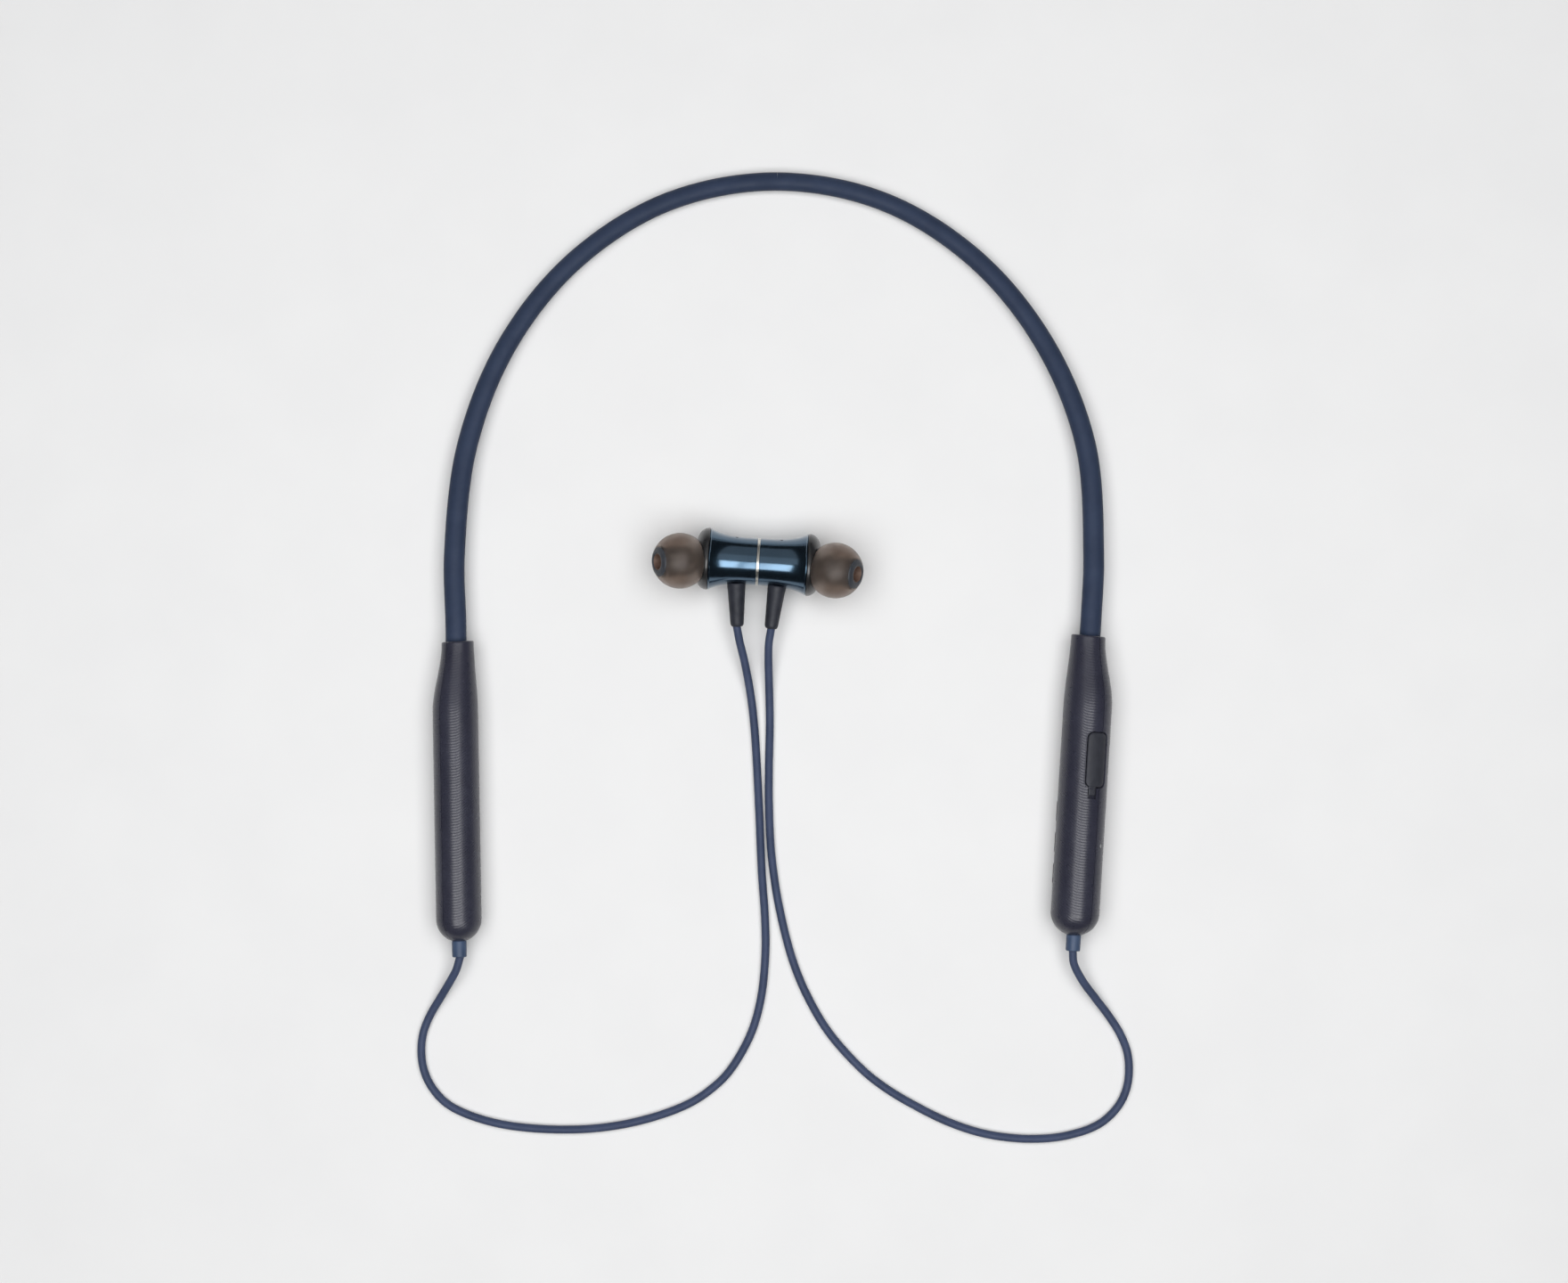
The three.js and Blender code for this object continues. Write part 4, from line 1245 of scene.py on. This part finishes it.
KEPT = {
    STEEL: ["shield_can", "usb_socket", "microphone", "volume_down_switch", "play_switch",
            "volume_up_switch", "left_magnet", "right_magnet", "left_driver", "right_driver"],
    circuit_board(): ["protection_board", "main_board", "usb_board"],
    cell_wrap(): ["battery"],
    foam(): ["battery_foam"],
    clear_plastic(): ["status_led", "light_pipe", "left_diaphragm", "right_diaphragm"],
    brass(): ["left_wire_anchor", "right_wire_anchor"],
}
for material, nodes in KEPT.items():
    for node in nodes:
        slots = frame["nodes"][node].data.materials
        slots.clear()
        slots.append(material)

# ---- floor and light -------------------------------------------------------------------------


def floor():
    """The white paper that the set lies on."""
    size = 4000
    corners = [(-size, -size, 0), (size, -size, 0), (size, size, 0), (-size, size, 0)]
    obj = piece("floor", corners, [(0, 1, 2, 3)], floor_paper())


def softbox(name, middle, size, radiance, diffuse=True, glossy=True):
    """A flat light facing straight down, which may be left out of diffuse or of glossy light."""
    width, length = size[0] * MM, size[1] * MM
    data = bpy.data.lights.new(name, "AREA")
    data.shape = "RECTANGLE"
    data.size = width
    data.size_y = length
    data.energy = math.pi * width * length * radiance
    obj = bpy.data.objects.new(name, data)
    obj.location = Vector(middle) * MM
    obj.visible_diffuse = diffuse
    obj.visible_glossy = glossy
    bpy.context.scene.collection.objects.link(obj)


def world(strength):
    """A faint, slightly cool light from everywhere."""
    bpy.context.scene.world = bpy.data.worlds.new("world")
    bpy.context.scene.world.use_nodes = True
    background = bpy.context.scene.world.node_tree.nodes["Background"]
    background.inputs["Color"].default_value = (0.95, 0.97, 1.0, 1)
    background.inputs["Strength"].default_value = strength


floor()
world(0.05)
softbox("top_light", (0, -50, 745), (950, 850), 3.2, glossy=False)
softbox("right_reflector", (215, -322, 750), (370, 475), 5.0, diffuse=False)
softbox("left_reflector", (-180, -322, 750), (340, 475), 5.0, diffuse=False)
softbox("near_back_reflector", (0, 160, 750), (1000, 380), 0.6, diffuse=False)
softbox("far_back_reflector", (0, 1250, 750), (1000, 1800), 0.35, diffuse=False)

bpy.context.scene.view_settings.view_transform = "Standard"
